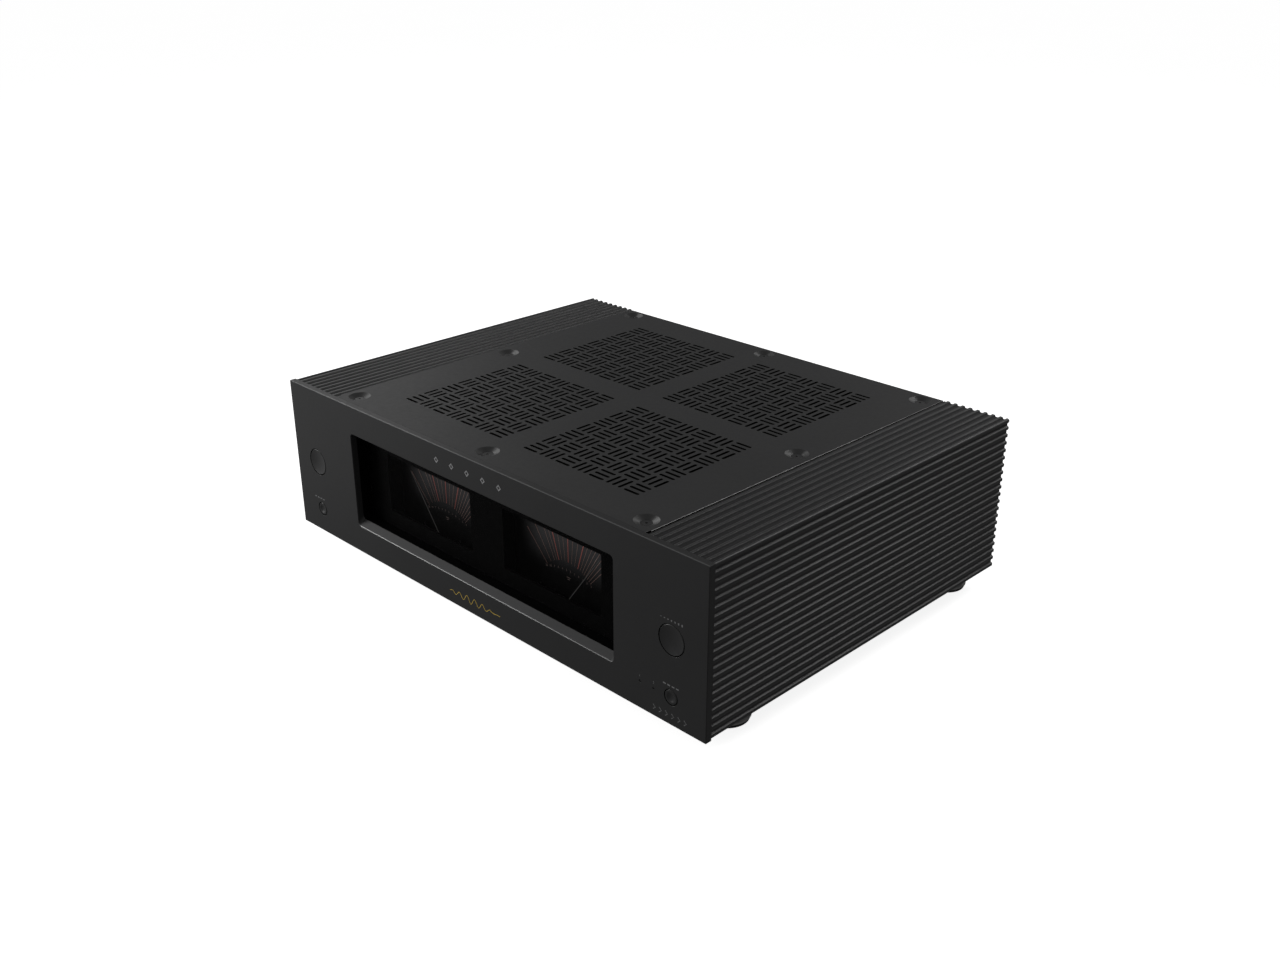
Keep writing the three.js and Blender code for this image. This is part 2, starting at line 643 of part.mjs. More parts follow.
// The mains inlet: a flanged body with a hollow that holds three blades.
function mainsInlet() {
  const { x, z, width, height } = INLET;
  const face = REAR_PANEL_FACE + 3;
  const bodyBack = REAR_PANEL_FACE - 20;
  const flange = box(x - 16, x + 16, REAR_PANEL_FACE + GAP, face, z - 13, z + 13);
  const body = box(
    x - width / 2 + GAP, x + width / 2 - GAP, bodyBack, face - 1,
    z - height / 2 + GAP, z + height / 2 - GAP,
  );
  const socket = box(x - 12.2, x + 12.2, face - 16, face + 1, z - 8.2, z + 8.2);
  const blades = [[-7, -2], [0, 3], [7, -2]].map(([dx, dz]) =>
    box(x + dx - 1, x + dx + 1, face - 17, face - 6, z + dz - 2, z + dz + 2),
  );
  return join(cut(join(flange, body), socket), ...blades);
}

// Two phono sockets on one carrier behind the panel.
function phonoSockets() {
  const carrier = box(-22, 22, 296, REAR_PANEL_FACE - 2 - GAP, PHONO_Z - 8, PHONO_Z + 8);
  const barrels = [-1, 1].map((side) =>
    rodY(PHONO_RADIUS, 310, REAR_PANEL_FACE + 9, side * PHONO_X, PHONO_Z),
  );
  const bores = [-1, 1].map((side) =>
    rodY(1.6, REAR_PANEL_FACE - 4, REAR_PANEL_FACE + 10, side * PHONO_X, PHONO_Z, 12),
  );
  return cut(join(carrier, ...barrels), ...bores);
}

// A balanced input socket: a square flange with a round body and three contact holes.
function balancedSocket(side) {
  const x = side * BALANCED_X;
  const z = BALANCED_Z;
  const flangeFront = REAR_PANEL_FACE + GAP;
  const face = flangeFront + 2;
  const flange = box(x - 13, x + 13, flangeFront, face, z - 15.5, z + 15.5);
  const body = rodY(BALANCED_RADIUS, 292, face + 0.6, x, z, 20);
  const contacts = [90, 210, 330].map((degrees) => {
    const angle = THREE.MathUtils.degToRad(degrees);
    return rodY(1.4, face - 9, face + 2, x + 4.6 * Math.cos(angle), z + 4.6 * Math.sin(angle), 8);
  });
  return cut(join(flange, body), ...contacts);
}

// The lever of the input selector: a grip outside the panel and a slider behind it.
function selectorSwitch() {
  const { x, z, travel } = SWITCH;
  const left = x - travel / 2;
  const grip = box(left - 2, left + 2, 306, REAR_PANEL_FACE + 2.5, z - 1.9, z + 1.9);
  const slider = box(left - 8, left + 8, 304, 310, z - 4, z + 4);
  return join(grip, slider);
}

const terminalPlaces = (side) =>
  [-1.5, -0.5, 0.5, 1.5].map((step) => side * TERMINAL_CENTRE_X + step * TERMINAL_PITCH);

// A terminal block: a moulded base on the rear panel with four threaded studs.
function terminalBlock(side) {
  const centre = side * TERMINAL_CENTRE_X;
  const back = REAR_PANEL_FACE + GAP;
  const base = box(
    centre - 46, centre + 46, back, back + 3, TERMINAL_HEIGHT - 13, TERMINAL_HEIGHT + 13,
  );
  const studs = terminalPlaces(side).flatMap((x) => [
    rodY(6.4, back + 1, back + 5, x, TERMINAL_HEIGHT, 16),
    rodY(2.5, back + 1, back + 17, x, TERMINAL_HEIGHT, 12),
  ]);
  return join(base, ...studs);
}

// A screw cap with a lobed grip and a bore for the stud.
function terminalCap(x) {
  const outline = Array.from({ length: 16 }, (_, k) => {
    const angle = (k * Math.PI) / 8;
    const radius = CAP_RADIUS - (k % 2 ? 0.7 : 0);
    return [x + radius * Math.cos(angle), TERMINAL_HEIGHT + radius * Math.sin(angle)];
  });
  const grip = extrudedY(outline, CAP_FRONT + 3, OVERALL_DEPTH);
  const collar = rodY(6, CAP_FRONT, CAP_FRONT + 3.5, x, TERMINAL_HEIGHT, 16);
  const bore = rodY(2.9, CAP_FRONT - 1, OVERALL_DEPTH + 1, x, TERMINAL_HEIGHT, 12);
  return cut(join(grip, collar), bore);
}

// ---- assembly -----------------------------------------------------------------------------

addPart("front_panel", "panel", frontPanel());
addPart("window_glass", "glass", windowGlass());
addPart("meter_bezel", "plastic", meterBezel());
addPart("front_subchassis", "steel", frontSubchassis());
addPart("power_button", "panel", button(-1, LARGE_BUTTON, 3));
addPart("input_button", "panel", button(-1, SMALL_BUTTON, 2));
addPart("meter_button", "panel", button(1, LARGE_BUTTON, 3));
addPart("speaker_button", "panel", button(1, SMALL_BUTTON, 2));
addPart("button_board_left", "board", buttonBoard(-1));
addPart("button_board_right", "board", buttonBoard(1));
for (const [name, x] of INDICATOR_PLACES) addPart(name, "light", indicator(x));

for (const [name, side] of [["left", -1], ["right", 1]]) {
  addPart("meter_housing_" + name, "plastic", meterHousing(side * METER_X));
  addPart("meter_dial_" + name, "dial", meterDial(side * METER_X));
  const needle = addPart("meter_needle_" + name, "needle", meterNeedle());
  needle.position.set(side * METER_X, 0, METER_PIVOT_Z);
  needle.rotation.y = THREE.MathUtils.degToRad(NEEDLE_REST_DEGREES[name]);

  addPart("heat_sink_" + name, "sink", heatSink(side));
  addPart("amplifier_board_" + name, "board", amplifierBoard(side));
  addPart("output_module_" + name, "plastic", outputModule(side));
  addPart("balanced_socket_" + name, "plastic", balancedSocket(side));
  addPart("terminal_block_" + name, "plastic", terminalBlock(side));
  terminalPlaces(side).forEach((x, index) => {
    addPart("terminal_cap_" + name + "_" + (index + 1), "gold", terminalCap(x));
  });
  for (const [end, y] of Object.entries(FOOT_PLACES_Y))
    addPart("foot_" + end + "_" + name, "rubber", foot(side * FOOT_X, y));
}

addPart("top_cover", "panel", topCover());
addPart("bottom_plate", "steel", bottomPlate());
addPart("rear_panel", "sheet", rearPanel());
for (const [name, x, y] of SCREW_PLACES) addPart("cover_screw_" + name, "screw", coverScrew(x, y));

addPart("transformer", "copper", transformer());
addPart("transformer_clamp", "steel", transformerClamp());
addPart("power_supply_board", "board", powerSupplyBoard());
addPart("filter_capacitor_left", "sleeve", capacitor(CAPACITOR.places[0]));
addPart("filter_capacitor_right", "sleeve", capacitor(CAPACITOR.places[1]));
addPart("input_board", "board", inputBoard());
addPart("mains_inlet", "plastic", mainsInlet());
addPart("phono_sockets", "gold", phonoSockets());
addPart("selector_switch", "plastic", selectorSwitch());

export default amplifier;
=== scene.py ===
"""The looks of the power amplifier: fine meshes and procedural materials round the CAD frame.

Shapes are drawn in millimetres in the panel frame: x to the right, y to the back from the front
panel's face, z up from the front panel's lower edge. Shape.piece() moves them into the row frame.
"""

import json
import math

import bmesh
import bpy
from mathutils import Matrix, Vector


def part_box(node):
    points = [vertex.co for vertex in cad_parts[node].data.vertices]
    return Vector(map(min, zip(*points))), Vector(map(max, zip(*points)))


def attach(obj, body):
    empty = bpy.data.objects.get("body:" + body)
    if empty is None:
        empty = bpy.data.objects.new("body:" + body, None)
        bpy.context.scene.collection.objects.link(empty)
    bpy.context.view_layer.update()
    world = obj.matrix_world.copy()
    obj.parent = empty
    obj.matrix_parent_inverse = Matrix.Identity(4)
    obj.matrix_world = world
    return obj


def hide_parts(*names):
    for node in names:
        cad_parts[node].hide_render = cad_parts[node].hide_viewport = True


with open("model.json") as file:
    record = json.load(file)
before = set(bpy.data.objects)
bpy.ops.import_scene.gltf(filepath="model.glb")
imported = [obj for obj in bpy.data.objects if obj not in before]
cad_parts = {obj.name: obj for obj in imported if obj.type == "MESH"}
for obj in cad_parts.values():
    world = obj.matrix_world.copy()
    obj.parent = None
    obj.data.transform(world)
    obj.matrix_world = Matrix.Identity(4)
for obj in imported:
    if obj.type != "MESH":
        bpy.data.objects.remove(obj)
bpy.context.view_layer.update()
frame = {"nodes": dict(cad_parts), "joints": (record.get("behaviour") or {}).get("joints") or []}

MM = 0.001
PANEL_LOW, PANEL_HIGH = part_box("front_panel")
ORIGIN = Vector((0.0, PANEL_LOW.y, PANEL_LOW.z))
PANEL_WIDTH = (PANEL_HIGH.x - PANEL_LOW.x) / MM
PANEL_HEIGHT = (PANEL_HIGH.z - PANEL_LOW.z) / MM
PANEL_THICKNESS = (PANEL_HIGH.y - PANEL_LOW.y) / MM


def cad_box(node):
    """The lowest and highest corners of a CAD node, in millimetres in the panel frame."""
    low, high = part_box(node)
    return (low - ORIGIN) / MM, (high - ORIGIN) / MM


def middle(low, high):
    """The centre of a box, as x, y and z."""
    return [(a + b) / 2 for a, b in zip(low, high)]


# ---- outlines -----------------------------------------------------------------------------


def circle(cx, cz, radius, sides=48, start=0.0):
    """Points of a regular outline round a centre."""
    steps = [start + 2 * math.pi * k / sides for k in range(sides)]
    return [(cx + radius * math.cos(a), cz + radius * math.sin(a)) for a in steps]


def rounded(x0, x1, z0, z1, radius, grow=0.0, steps=6):
    """A rectangle with round corners, made larger by grow on every side."""
    x0, x1, z0, z1 = x0 - grow, x1 + grow, z0 - grow, z1 + grow
    radius = max(radius + grow, 0.01)
    corners = [(x1, z0, -90), (x1, z1, 0), (x0, z1, 90), (x0, z0, 180)]
    points = []
    for cx, cz, start in corners:
        mx = cx - radius if cx == x1 else cx + radius
        mz = cz - radius if cz == z1 else cz + radius
        for step in range(steps + 1):
            angle = math.radians(start + 90 * step / steps)
            points.append((mx + radius * math.cos(angle), mz + radius * math.sin(angle)))
    return points


def front_outline(low, high, radius, grow=0.0):
    """A box seen from the front, with round corners."""
    return rounded(low.x, high.x, low.z, high.z, radius, grow)


def slot_outline(cx, cy, length, width, along_x, steps=4):
    """A slot with round ends."""
    radius = width / 2
    reach = (length - width) / 2
    points = []
    for end, start in ((1, -90), (-1, 90)):
        for step in range(steps + 1):
            angle = math.radians(start + 180 * step / steps)
            u = end * reach + radius * math.cos(angle)
            v = radius * math.sin(angle)
            points.append((cx + u, cy + v) if along_x else (cx - v, cy + u))
    return points


# ---- mesh building ------------------------------------------------------------------------


class Shape:
    """A mesh under construction, in millimetres in the panel frame."""

    def __init__(self):
        self.mesh = bmesh.new()

    def ring(self, points):
        return [self.mesh.verts.new(p) for p in points]

    def bridge(self, first, second, look=0):
        count = len(first)
        for k in range(count):
            n = (k + 1) % count
            face = self.mesh.faces.new((first[k], first[n], second[n], second[k]))
            face.material_index = look

    def cap(self, ring):
        self.mesh.faces.new(ring)

    def crease(self, ring):
        """Keeps the shading apart on both sides of a ring."""
        for k, vert in enumerate(ring):
            self.mesh.edges.get((vert, ring[(k + 1) % len(ring)])).smooth = False

    def fan(self, ring, tip):
        count = len(ring)
        for k in range(count):
            self.mesh.faces.new((ring[k], ring[(k + 1) % count], tip))

    def fill(self, rings):
        """Closes a flat region between an outer ring and the rings of its holes."""
        edges = []
        for ring in rings:
            for k, vert in enumerate(ring):
                other = ring[(k + 1) % len(ring)]
                edge = self.mesh.edges.get((vert, other))
                edges.append(edge or self.mesh.edges.new((vert, other)))
        bmesh.ops.triangle_fill(self.mesh, use_beauty=True, use_dissolve=False, edges=edges)

    def plate(self, axis, outlines):
        """A plate with holes. Each outline is a list of (depth, points) levels from its first
        face to its last, and the first outline is the outer one. axis is y or z. A level may
        carry a third value, the number of the look of the wall that follows it."""
        first, last = [], []
        for levels in outlines:
            looks = [level[2] if len(level) > 2 else 0 for level in levels]
            levels = [level[:2] for level in levels]
            rings = []
            for depth, points in levels:
                if axis == "y":
                    rings.append(self.ring([(u, depth, v) for u, v in points]))
                else:
                    rings.append(self.ring([(u, v, depth) for u, v in points]))
            for a, b, look in zip(rings, rings[1:], looks):
                self.bridge(a, b, look)
            first.append(rings[0])
            last.append(rings[-1])
            for ring in rings:
                self.crease(ring)
        self.fill(first)
        self.fill(last)

    def change_look(self, before, after, test):
        """Changes the look of the faces whose centre passes a test."""
        for face in self.mesh.faces:
            if face.material_index == before and test(face.calc_center_median()):
                face.material_index = after

    def block(self, low, high, chamfer=0.3):
        """A box with small chamfers along all its edges."""
        made = bmesh.ops.create_cube(self.mesh, size=1.0)["verts"]
        low, high = Vector(low), Vector(high)
        for vert in made:
            vert.co = Vector(
                [low[i] + (high[i] - low[i]) * (vert.co[i] + 0.5) for i in range(3)]
            )
        if chamfer:
            edges = list({e for v in made for e in v.link_edges})
            bmesh.ops.bevel(
                self.mesh, geom=edges, offset=chamfer, segments=1, profile=0.5,
                affect="EDGES", clamp_overlap=True,
            )

    def turned(self, axis, profile, centre, sides=48):
        """A turned piece: profile is (radius, place along the axis) pairs; the centre gives the
        other two coordinates."""
        rings = []
        for radius, place in profile:
            count = 1 if radius < 1e-6 else sides
            points = []
            for k in range(count):
                angle = 2 * math.pi * k / sides
                u = centre[0] + radius * math.cos(angle)
                v = centre[1] + radius * math.sin(angle)
                points.append({"x": (place, u, v), "y": (u, place, v), "z": (u, v, place)}[axis])
            rings.append(self.ring(points))
        for a, b in zip(rings, rings[1:]):
            if len(a) == 1 and len(b) == 1:
                continue
            if len(a) == 1:
                self.fan(b, a[0])
            elif len(b) == 1:
                self.fan(a, b[0])
            else:
                self.bridge(a, b)
        if len(rings[0]) > 1 and profile[0] == profile[-1]:
            bmesh.ops.remove_doubles(self.mesh, verts=rings[0] + rings[-1], dist=1e-5)

    def add_mesh(self, data, matrix):
        """Takes in another mesh, moved by a matrix into this frame."""
        count = len(self.mesh.verts)
        self.mesh.from_mesh(data)
        self.mesh.verts.ensure_lookup_table()
        bmesh.ops.transform(self.mesh, matrix=matrix, verts=self.mesh.verts[count:])

    def move(self, matrix):
        bmesh.ops.transform(self.mesh, matrix=matrix, verts=self.mesh.verts)

    def piece(self, name, body, slot, materials, replaces=(), sharp=32):
        """Turns the shape into an object of the scene that rides on a body."""
        bmesh.ops.recalc_face_normals(self.mesh, faces=self.mesh.faces)
        for vert in self.mesh.verts:
            vert.co = ORIGIN + vert.co * MM
        for edge in self.mesh.edges:
            if len(edge.link_faces) == 2 and edge.calc_face_angle(0) > math.radians(sharp):
                edge.smooth = False
        data = bpy.data.meshes.new(name)
        self.mesh.to_mesh(data)
        self.mesh.free()
        data.polygons.foreach_set("use_smooth", [True] * len(data.polygons))
        piece = bpy.data.objects.new(name, data)
        bpy.context.scene.collection.objects.link(piece)
        for material in materials if isinstance(materials, list) else [materials]:
            data.materials.append(material)
        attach(piece, body)
        if replaces:
            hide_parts(*replaces)
        return piece


def lettering(shape, text, size, centre, depth, height=0.12):
    """Adds upright characters facing the front, standing out from y = depth."""
    curve = bpy.data.curves.new("characters", type="FONT")
    curve.body = text
    curve.size = size
    curve.align_x = "CENTER"
    curve.align_y = "CENTER"
    curve.extrude = height / 2
    curve.resolution_u = 2
    holder = bpy.data.objects.new("characters", curve)
    bpy.context.scene.collection.objects.link(holder)
    bpy.context.view_layer.update()
    data = bpy.data.meshes.new_from_object(
        holder.evaluated_get(bpy.context.evaluated_depsgraph_get())
    )
    upright = Matrix.Rotation(math.radians(90), 4, "X")
    shape.add_mesh(data, Matrix.Translation((centre[0], depth, centre[1])) @ upright)
    bpy.data.objects.remove(holder)
    bpy.data.curves.remove(curve)
    bpy.data.meshes.remove(data)


def stroke(shape, points, width, depth, height=0.08):
    """Adds a flat line of a given width through [x, z] points, standing out from y = depth."""
    left, right = [], []
    for k, (x, z) in enumerate(points):
        before = points[max(k - 1, 0)]
        after = points[min(k + 1, len(points) - 1)]
        dx, dz = after[0] - before[0], after[1] - before[1]
        size = math.hypot(dx, dz) or 1.0
        wide = width(k / (len(points) - 1)) if callable(width) else width
        nx, nz = -dz / size * wide / 2, dx / size * wide / 2
        left.append((x + nx, z + nz))
        right.append((x - nx, z - nz))
    outline = left + right[::-1]
    front = shape.ring([(x, depth - height, z) for x, z in outline])
    back = shape.ring([(x, depth, z) for x, z in outline])
    shape.bridge(front, back)
    count = len(points)
    for side in (front, back):
        for k in range(count - 1):
            shape.mesh.faces.new(
                (side[k], side[k + 1], side[2 * count - 2 - k], side[2 * count - 1 - k])
            )


# ---- materials ----------------------------------------------------------------------------


class Look:
    """A node material built round one Principled shader."""

    def __init__(self, name, color, roughness, metallic=0.0, specular=0.5):
        self.material = bpy.data.materials.new(name)
        self.material.use_nodes = True
        self.nodes = self.material.node_tree.nodes
        self.links = self.material.node_tree.links
        self.shader = self.nodes["Principled BSDF"]
        self.coordinates = self.nodes.new("ShaderNodeTexCoord")
        self.color = color
        self.set("Base Color", (*color, 1.0))
        self.set("Roughness", roughness)
        self.set("Metallic", metallic)
        self.set("Specular IOR Level", specular)

    def set(self, socket, value):
        self.shader.inputs[socket].default_value = value

    def noise(self, scale, detail=3.0, stretch=(1, 1, 1)):
        mapping = self.nodes.new("ShaderNodeMapping")
        mapping.inputs["Scale"].default_value = stretch
        self.links.new(self.coordinates.outputs["Object"], mapping.inputs["Vector"])
        noise = self.nodes.new("ShaderNodeTexNoise")
        noise.inputs["Scale"].default_value = scale
        noise.inputs["Detail"].default_value = detail
        self.links.new(mapping.outputs["Vector"], noise.inputs["Vector"])
        return noise.outputs["Fac"]

    def ramp(self, value, low, high, at=(0.3, 0.7)):
        """Maps a value to a colour between low and high."""
        ramp = self.nodes.new("ShaderNodeValToRGB")
        ramp.color_ramp.elements[0].position, ramp.color_ramp.elements[1].position = at
        ramp.color_ramp.elements[0].color = (*low, 1.0)
        ramp.color_ramp.elements[1].color = (*high, 1.0)
        self.links.new(value, ramp.inputs["Fac"])
        return ramp.outputs["Color"]

    def vary_color(self, scale=35.0, amount=0.18, stretch=(1, 1, 1)):
        low = tuple(c * (1 - amount) for c in self.color)
        high = tuple(c * (1 + amount) for c in self.color)
        mixed = self.ramp(self.noise(scale, stretch=stretch), low, high)
        self.links.new(mixed, self.shader.inputs["Base Color"])
        return self

    def vary_roughness(self, low, high, scale=60.0, stretch=(1, 1, 1)):
        spread = self.nodes.new("ShaderNodeMapRange")
        spread.inputs["From Min"].default_value = 0.3
        spread.inputs["From Max"].default_value = 0.7
        spread.inputs["To Min"].default_value = low
        spread.inputs["To Max"].default_value = high
        self.links.new(self.noise(scale, stretch=stretch), spread.inputs["Value"])
        self.links.new(spread.outputs["Result"], self.shader.inputs["Roughness"])
        return self

    def grain(self, scale, strength, distance=0.00002, stretch=(1, 1, 1)):
        bump = self.nodes.new("ShaderNodeBump")
        bump.inputs["Strength"].default_value = strength
        bump.inputs["Distance"].default_value = distance
        self.links.new(self.noise(scale, 2.0, stretch), bump.inputs["Height"])
        self.links.new(bump.outputs["Normal"], self.shader.inputs["Normal"])
        return self


ANODISED = (0.034, 0.034, 0.0345)


def blasted_black():
    look = Look("blasted_black_anodising", ANODISED, 0.45, specular=0.3)
    return look.vary_color(18, 0.05).vary_roughness(0.43, 0.48, 300).grain(2200, 0.06).material


def extruded_black():
    look = Look("extruded_black_anodising", (0.030, 0.030, 0.0305), 0.37, specular=0.5)
    along = (1, 0.02, 1)
    return look.vary_color(60, 0.07, along).vary_roughness(0.35, 0.40, 400, along).material


# Painted light: a copy of the sink's anodising, duller and lighter in colour, that makes the bottoms
# of the top grooves lighter.
def groove_black_painted_light():
    look = Look("dull_anodising_painted_light", (0.036, 0.036, 0.0365), 0.53, specular=0.22)
    along = (1, 0.02, 1)
    return look.vary_color(60, 0.07, along).vary_roughness(0.5, 0.56, 400, along).material


def turned_black():
    look = Look("turned_black_anodising", ANODISED, 0.38, specular=0.35)
    return look.vary_color(40, 0.06).vary_roughness(0.35, 0.42, 400).grain(3000, 0.06).material


def machined_black():
    look = Look("machined_black_anodising", (0.010, 0.010, 0.0102), 0.3, specular=1.0)
    return look.vary_color(40, 0.06).vary_roughness(0.28, 0.33, 400).material


# Painted highlight: a grey far lighter than the anodising, for chamfers that would catch the light.
def edge_painted_highlight():
    look = Look("chamfer_painted_highlight", (0.12, 0.12, 0.122), 0.3, specular=0.6)
    return look.vary_color(40, 0.06).vary_roughness(0.28, 0.34, 400).material


def screw_black():
    look = Look("black_oxide_steel", (0.03, 0.03, 0.031), 0.34, 0.95)
    return look.vary_color(300, 0.2).vary_roughness(0.28, 0.42, 800).grain(2500, 0.2).material


# Near-black: real black plastic for the bezel, the mask and the trays, and painted shade on the walls
# of holes, slots and gaps in the plates.
def matte_black_plastic():
    look = Look("matte_black_plastic", (0.0014, 0.0014, 0.0015), 0.8, specular=0.04)
    return look.vary_color(50, 0.2).vary_roughness(0.68, 0.8, 700).grain(1800, 0.1).material


def socket_plastic():
    look = Look("socket_black_plastic", (0.012, 0.012, 0.0125), 0.45)
    return look.vary_color(60, 0.2).vary_roughness(0.4, 0.52, 500).grain(1500, 0.3).material


def powder_black():
    look = Look("black_powder_coat", (0.014, 0.014, 0.0145), 0.5)
    look.vary_color(25, 0.12).vary_roughness(0.45, 0.58, 800)
    return look.grain(1300, 0.5, 0.00004).material


def rubber_black():
    look = Look("black_rubber", (0.008, 0.008, 0.008), 0.7)
    return look.vary_color(60, 0.2).vary_roughness(0.62, 0.78, 400).grain(1200, 0.4).material


def bright_ring():
    look = Look("bright_turned_ring", (0.34, 0.34, 0.335), 0.36, 1.0)
    return look.vary_color(120, 0.08).vary_roughness(0.32, 0.42, 300).material


def gold_plate():
    look = Look("gold_plate", (0.72, 0.5, 0.2), 0.26, 1.0)
    return look.vary_color(150, 0.1).vary_roughness(0.2, 0.34, 400).grain(2500, 0.15).material


def gold_ink():
    look = Look("gold_ink", (0.80, 0.56, 0.10), 0.4, 0.2)
    return look.vary_color(300, 0.15).vary_roughness(0.35, 0.5, 900).material


def grey_ink():
    look = Look("grey_ink", (0.22, 0.22, 0.225), 0.5)
    return look.vary_color(300, 0.12).vary_roughness(0.45, 0.6, 900).material


def silver_inlay():
    look = Look("silver_inlay", (0.42, 0.42, 0.43), 0.38, 0.3)
    return look.vary_color(300, 0.1).vary_roughness(0.28, 0.4, 900).material


def tinted_glass():
    look = Look("tinted_window_glass", (0.004, 0.004, 0.0042), 0.2, specular=0.15)
    look.set("Alpha", 0.12)
    return look.vary_roughness(0.18, 0.24, 12).material


def needle_paint():
    look = Look("needle_paint", (0.06, 0.06, 0.059), 0.45, 0.2)
    # Painted light: a faint glow on the needle, which is no lamp.
    look.set("Emission Color", (0.5, 0.5, 0.48, 1.0))
    look.set("Emission Strength", 0.035)
    return look.vary_color(300, 0.08).vary_roughness(0.4, 0.5, 900).material


def dial_print(name, color, glow):
    look = Look(name, color, 0.5)
    # Painted light: the print glows though it is no lamp.
    look.set("Emission Color", (*color, 1.0))
    look.set("Emission Strength", glow)
    return look.vary_color(400, 0.08).vary_roughness(0.45, 0.55, 900).material


def coloured_plastic(name, color):
    look = Look(name, color, 0.4)
    return look.vary_color(80, 0.1).vary_roughness(0.35, 0.48, 600).grain(1500, 0.2).material


def blackened_sheet():
    look = Look("blackened_sheet", (0.03, 0.03, 0.031), 0.5, 0.6)
    look.vary_color(90, 0.1, (1, 0.1, 1))
    return look.vary_roughness(0.45, 0.6, 300, (1, 0.05, 1)).material


# Painted shade: the board's green is darkened far below a bare board's, for the inside of the closed
# case.
def circuit_board():
    look = Look("green_circuit_board", (0.01, 0.06, 0.028), 0.42)
    dark, light = (0.002, 0.012, 0.006), (0.006, 0.03, 0.015)
    checks = look.ramp(look.noise(420, 1.0), dark, light, (0.48, 0.52))
    look.links.new(checks, look.shader.inputs["Base Color"])
    return look.vary_roughness(0.35, 0.5, 500).material


def winding():
    look = Look("varnished_winding", (0.035, 0.018, 0.010), 0.5, 0.2)
    look.vary_color(700, 0.3, (1, 1, 0.1)).vary_roughness(0.3, 0.5, 300)
    return look.grain(900, 0.5, 0.0001, (1, 1, 0.1)).material


def sleeve():
    look = Look("capacitor_sleeve", (0.006, 0.008, 0.016), 0.4)
    return look.vary_color(60, 0.15).vary_roughness(0.25, 0.36, 300).material


LOOKS = {
    "panel": blasted_black(),
    "sink": extruded_black(),
    "groove": groove_black_painted_light(),
    "turned": turned_black(),
    "machined": machined_black(),
    "edge_painted_highlight": edge_painted_highlight(),
    "screw": screw_black(),
    "plastic": matte_black_plastic(),
    "socket": socket_plastic(),
    "powder": powder_black(),
    "rubber": rubber_black(),
    "ring": bright_ring(),
    "gold": gold_plate(),
    "gold_ink": gold_ink(),
    "grey_ink": grey_ink(),
    "silver": silver_inlay(),
    "glass": tinted_glass(),
    "needle": needle_paint(),
    "sheet": blackened_sheet(),
    "board": circuit_board(),
    "winding": winding(),
    "sleeve": sleeve(),
    "pale_print": dial_print("dial_pale_print", (0.105, 0.062, 0.052), 0.6),
    "number_print": dial_print("dial_number_print", (0.08, 0.06, 0.055), 0.4),
    "red_print": dial_print("dial_red_print", (0.13, 0.036, 0.03), 0.8),
    "red_ring": coloured_plastic("red_ring", (0.45, 0.02, 0.015)),
    "white_ring": coloured_plastic("white_ring", (0.6, 0.6, 0.58)),
    "dark_lens": coloured_plastic("smoked_lens", (0.02, 0.02, 0.022)),
}

# ---- camera, light and floor --------------------------------------------------------------

CAMERA_PLACE = Vector((652.1, -491.3, 463.7))  # millimetres in the panel frame
CAMERA_AZIMUTH = math.radians(44.907)
CAMERA_ELEVATION = math.radians(24.011)
CAMERA_LENS = 37.32


def make_camera():
    data = bpy.data.cameras.new("camera")
    data.lens = CAMERA_LENS
    data.sensor_width = 36
    data.clip_end = 100
    camera = bpy.data.objects.new("camera", data)
    camera.location = ORIGIN + CAMERA_PLACE * MM
    camera.rotation_euler = (math.pi / 2 - CAMERA_ELEVATION, 0, CAMERA_AZIMUTH)
    bpy.context.scene.collection.objects.link(camera)
    bpy.context.scene.camera = camera


SURROUND = 0.166
FLOOR_GLOW = 0.105  # what the floor sends up to the object
FLOOR_GLOW_LEFT = 0.148  # what its left part adds
LIGHTS = {  # place and size in metres, power in watts
    "rear_right_high": ((0.6, 1.2, 1.35), (0.8, 0.5), 5.7),
    "rear": ((0.0, 1.8, 1.0), (1.6, 0.8), 2.1),
    "left": ((-1.6, 0.35, 0.6), (1.2, 0.7), 1.35),
    "left_high": ((-1.2, 0.25, 1.05), (0.6, 0.6), 1.2),
    "left_front": ((-1.3, -1.0, 0.5), (0.8, 0.6), 12.8),
    "front": ((0.3, -1.8, 0.9), (1.2, 0.7), 1.4),
}


def camera_mix(nodes, links, seen, other):
    """What the camera sees directly, and what lights the object instead."""
    path = nodes.new("ShaderNodeLightPath")
    mix = nodes.new("ShaderNodeMixShader")
    links.new(path.outputs["Is Camera Ray"], mix.inputs["Fac"])
    links.new(other, mix.inputs[1])
    links.new(seen, mix.inputs[2])
    return mix.outputs["Shader"]


def floor_material():
    """White to the camera with faint shadows, and dim to the object, brighter at the left."""
    look = Look("pale_floor", (0.8, 0.8, 0.8), 0.9, specular=0.0)
    look.set("Emission Color", (1, 1, 1, 1))
    look.set("Emission Strength", 0.86)
    look.vary_color(3, 0.01)
    split = look.nodes.new("ShaderNodeSeparateXYZ")
    look.links.new(look.coordinates.outputs["Object"], split.inputs["Vector"])
    spread = look.nodes.new("ShaderNodeMapRange")
    spread.interpolation_type = "SMOOTHSTEP"
    spread.inputs["From Min"].default_value = 0.0
    spread.inputs["From Max"].default_value = -0.55
    spread.inputs["To Min"].default_value = FLOOR_GLOW
    spread.inputs["To Max"].default_value = FLOOR_GLOW + FLOOR_GLOW_LEFT
    look.links.new(split.outputs["X"], spread.inputs["Value"])
    glow = look.nodes.new("ShaderNodeEmission")
    look.links.new(spread.outputs["Result"], glow.inputs["Strength"])
    shader = camera_mix(
        look.nodes, look.links, look.shader.outputs["BSDF"], glow.outputs["Emission"]
    )
    look.links.new(shader, look.nodes["Material Output"].inputs["Surface"])
    return look.material


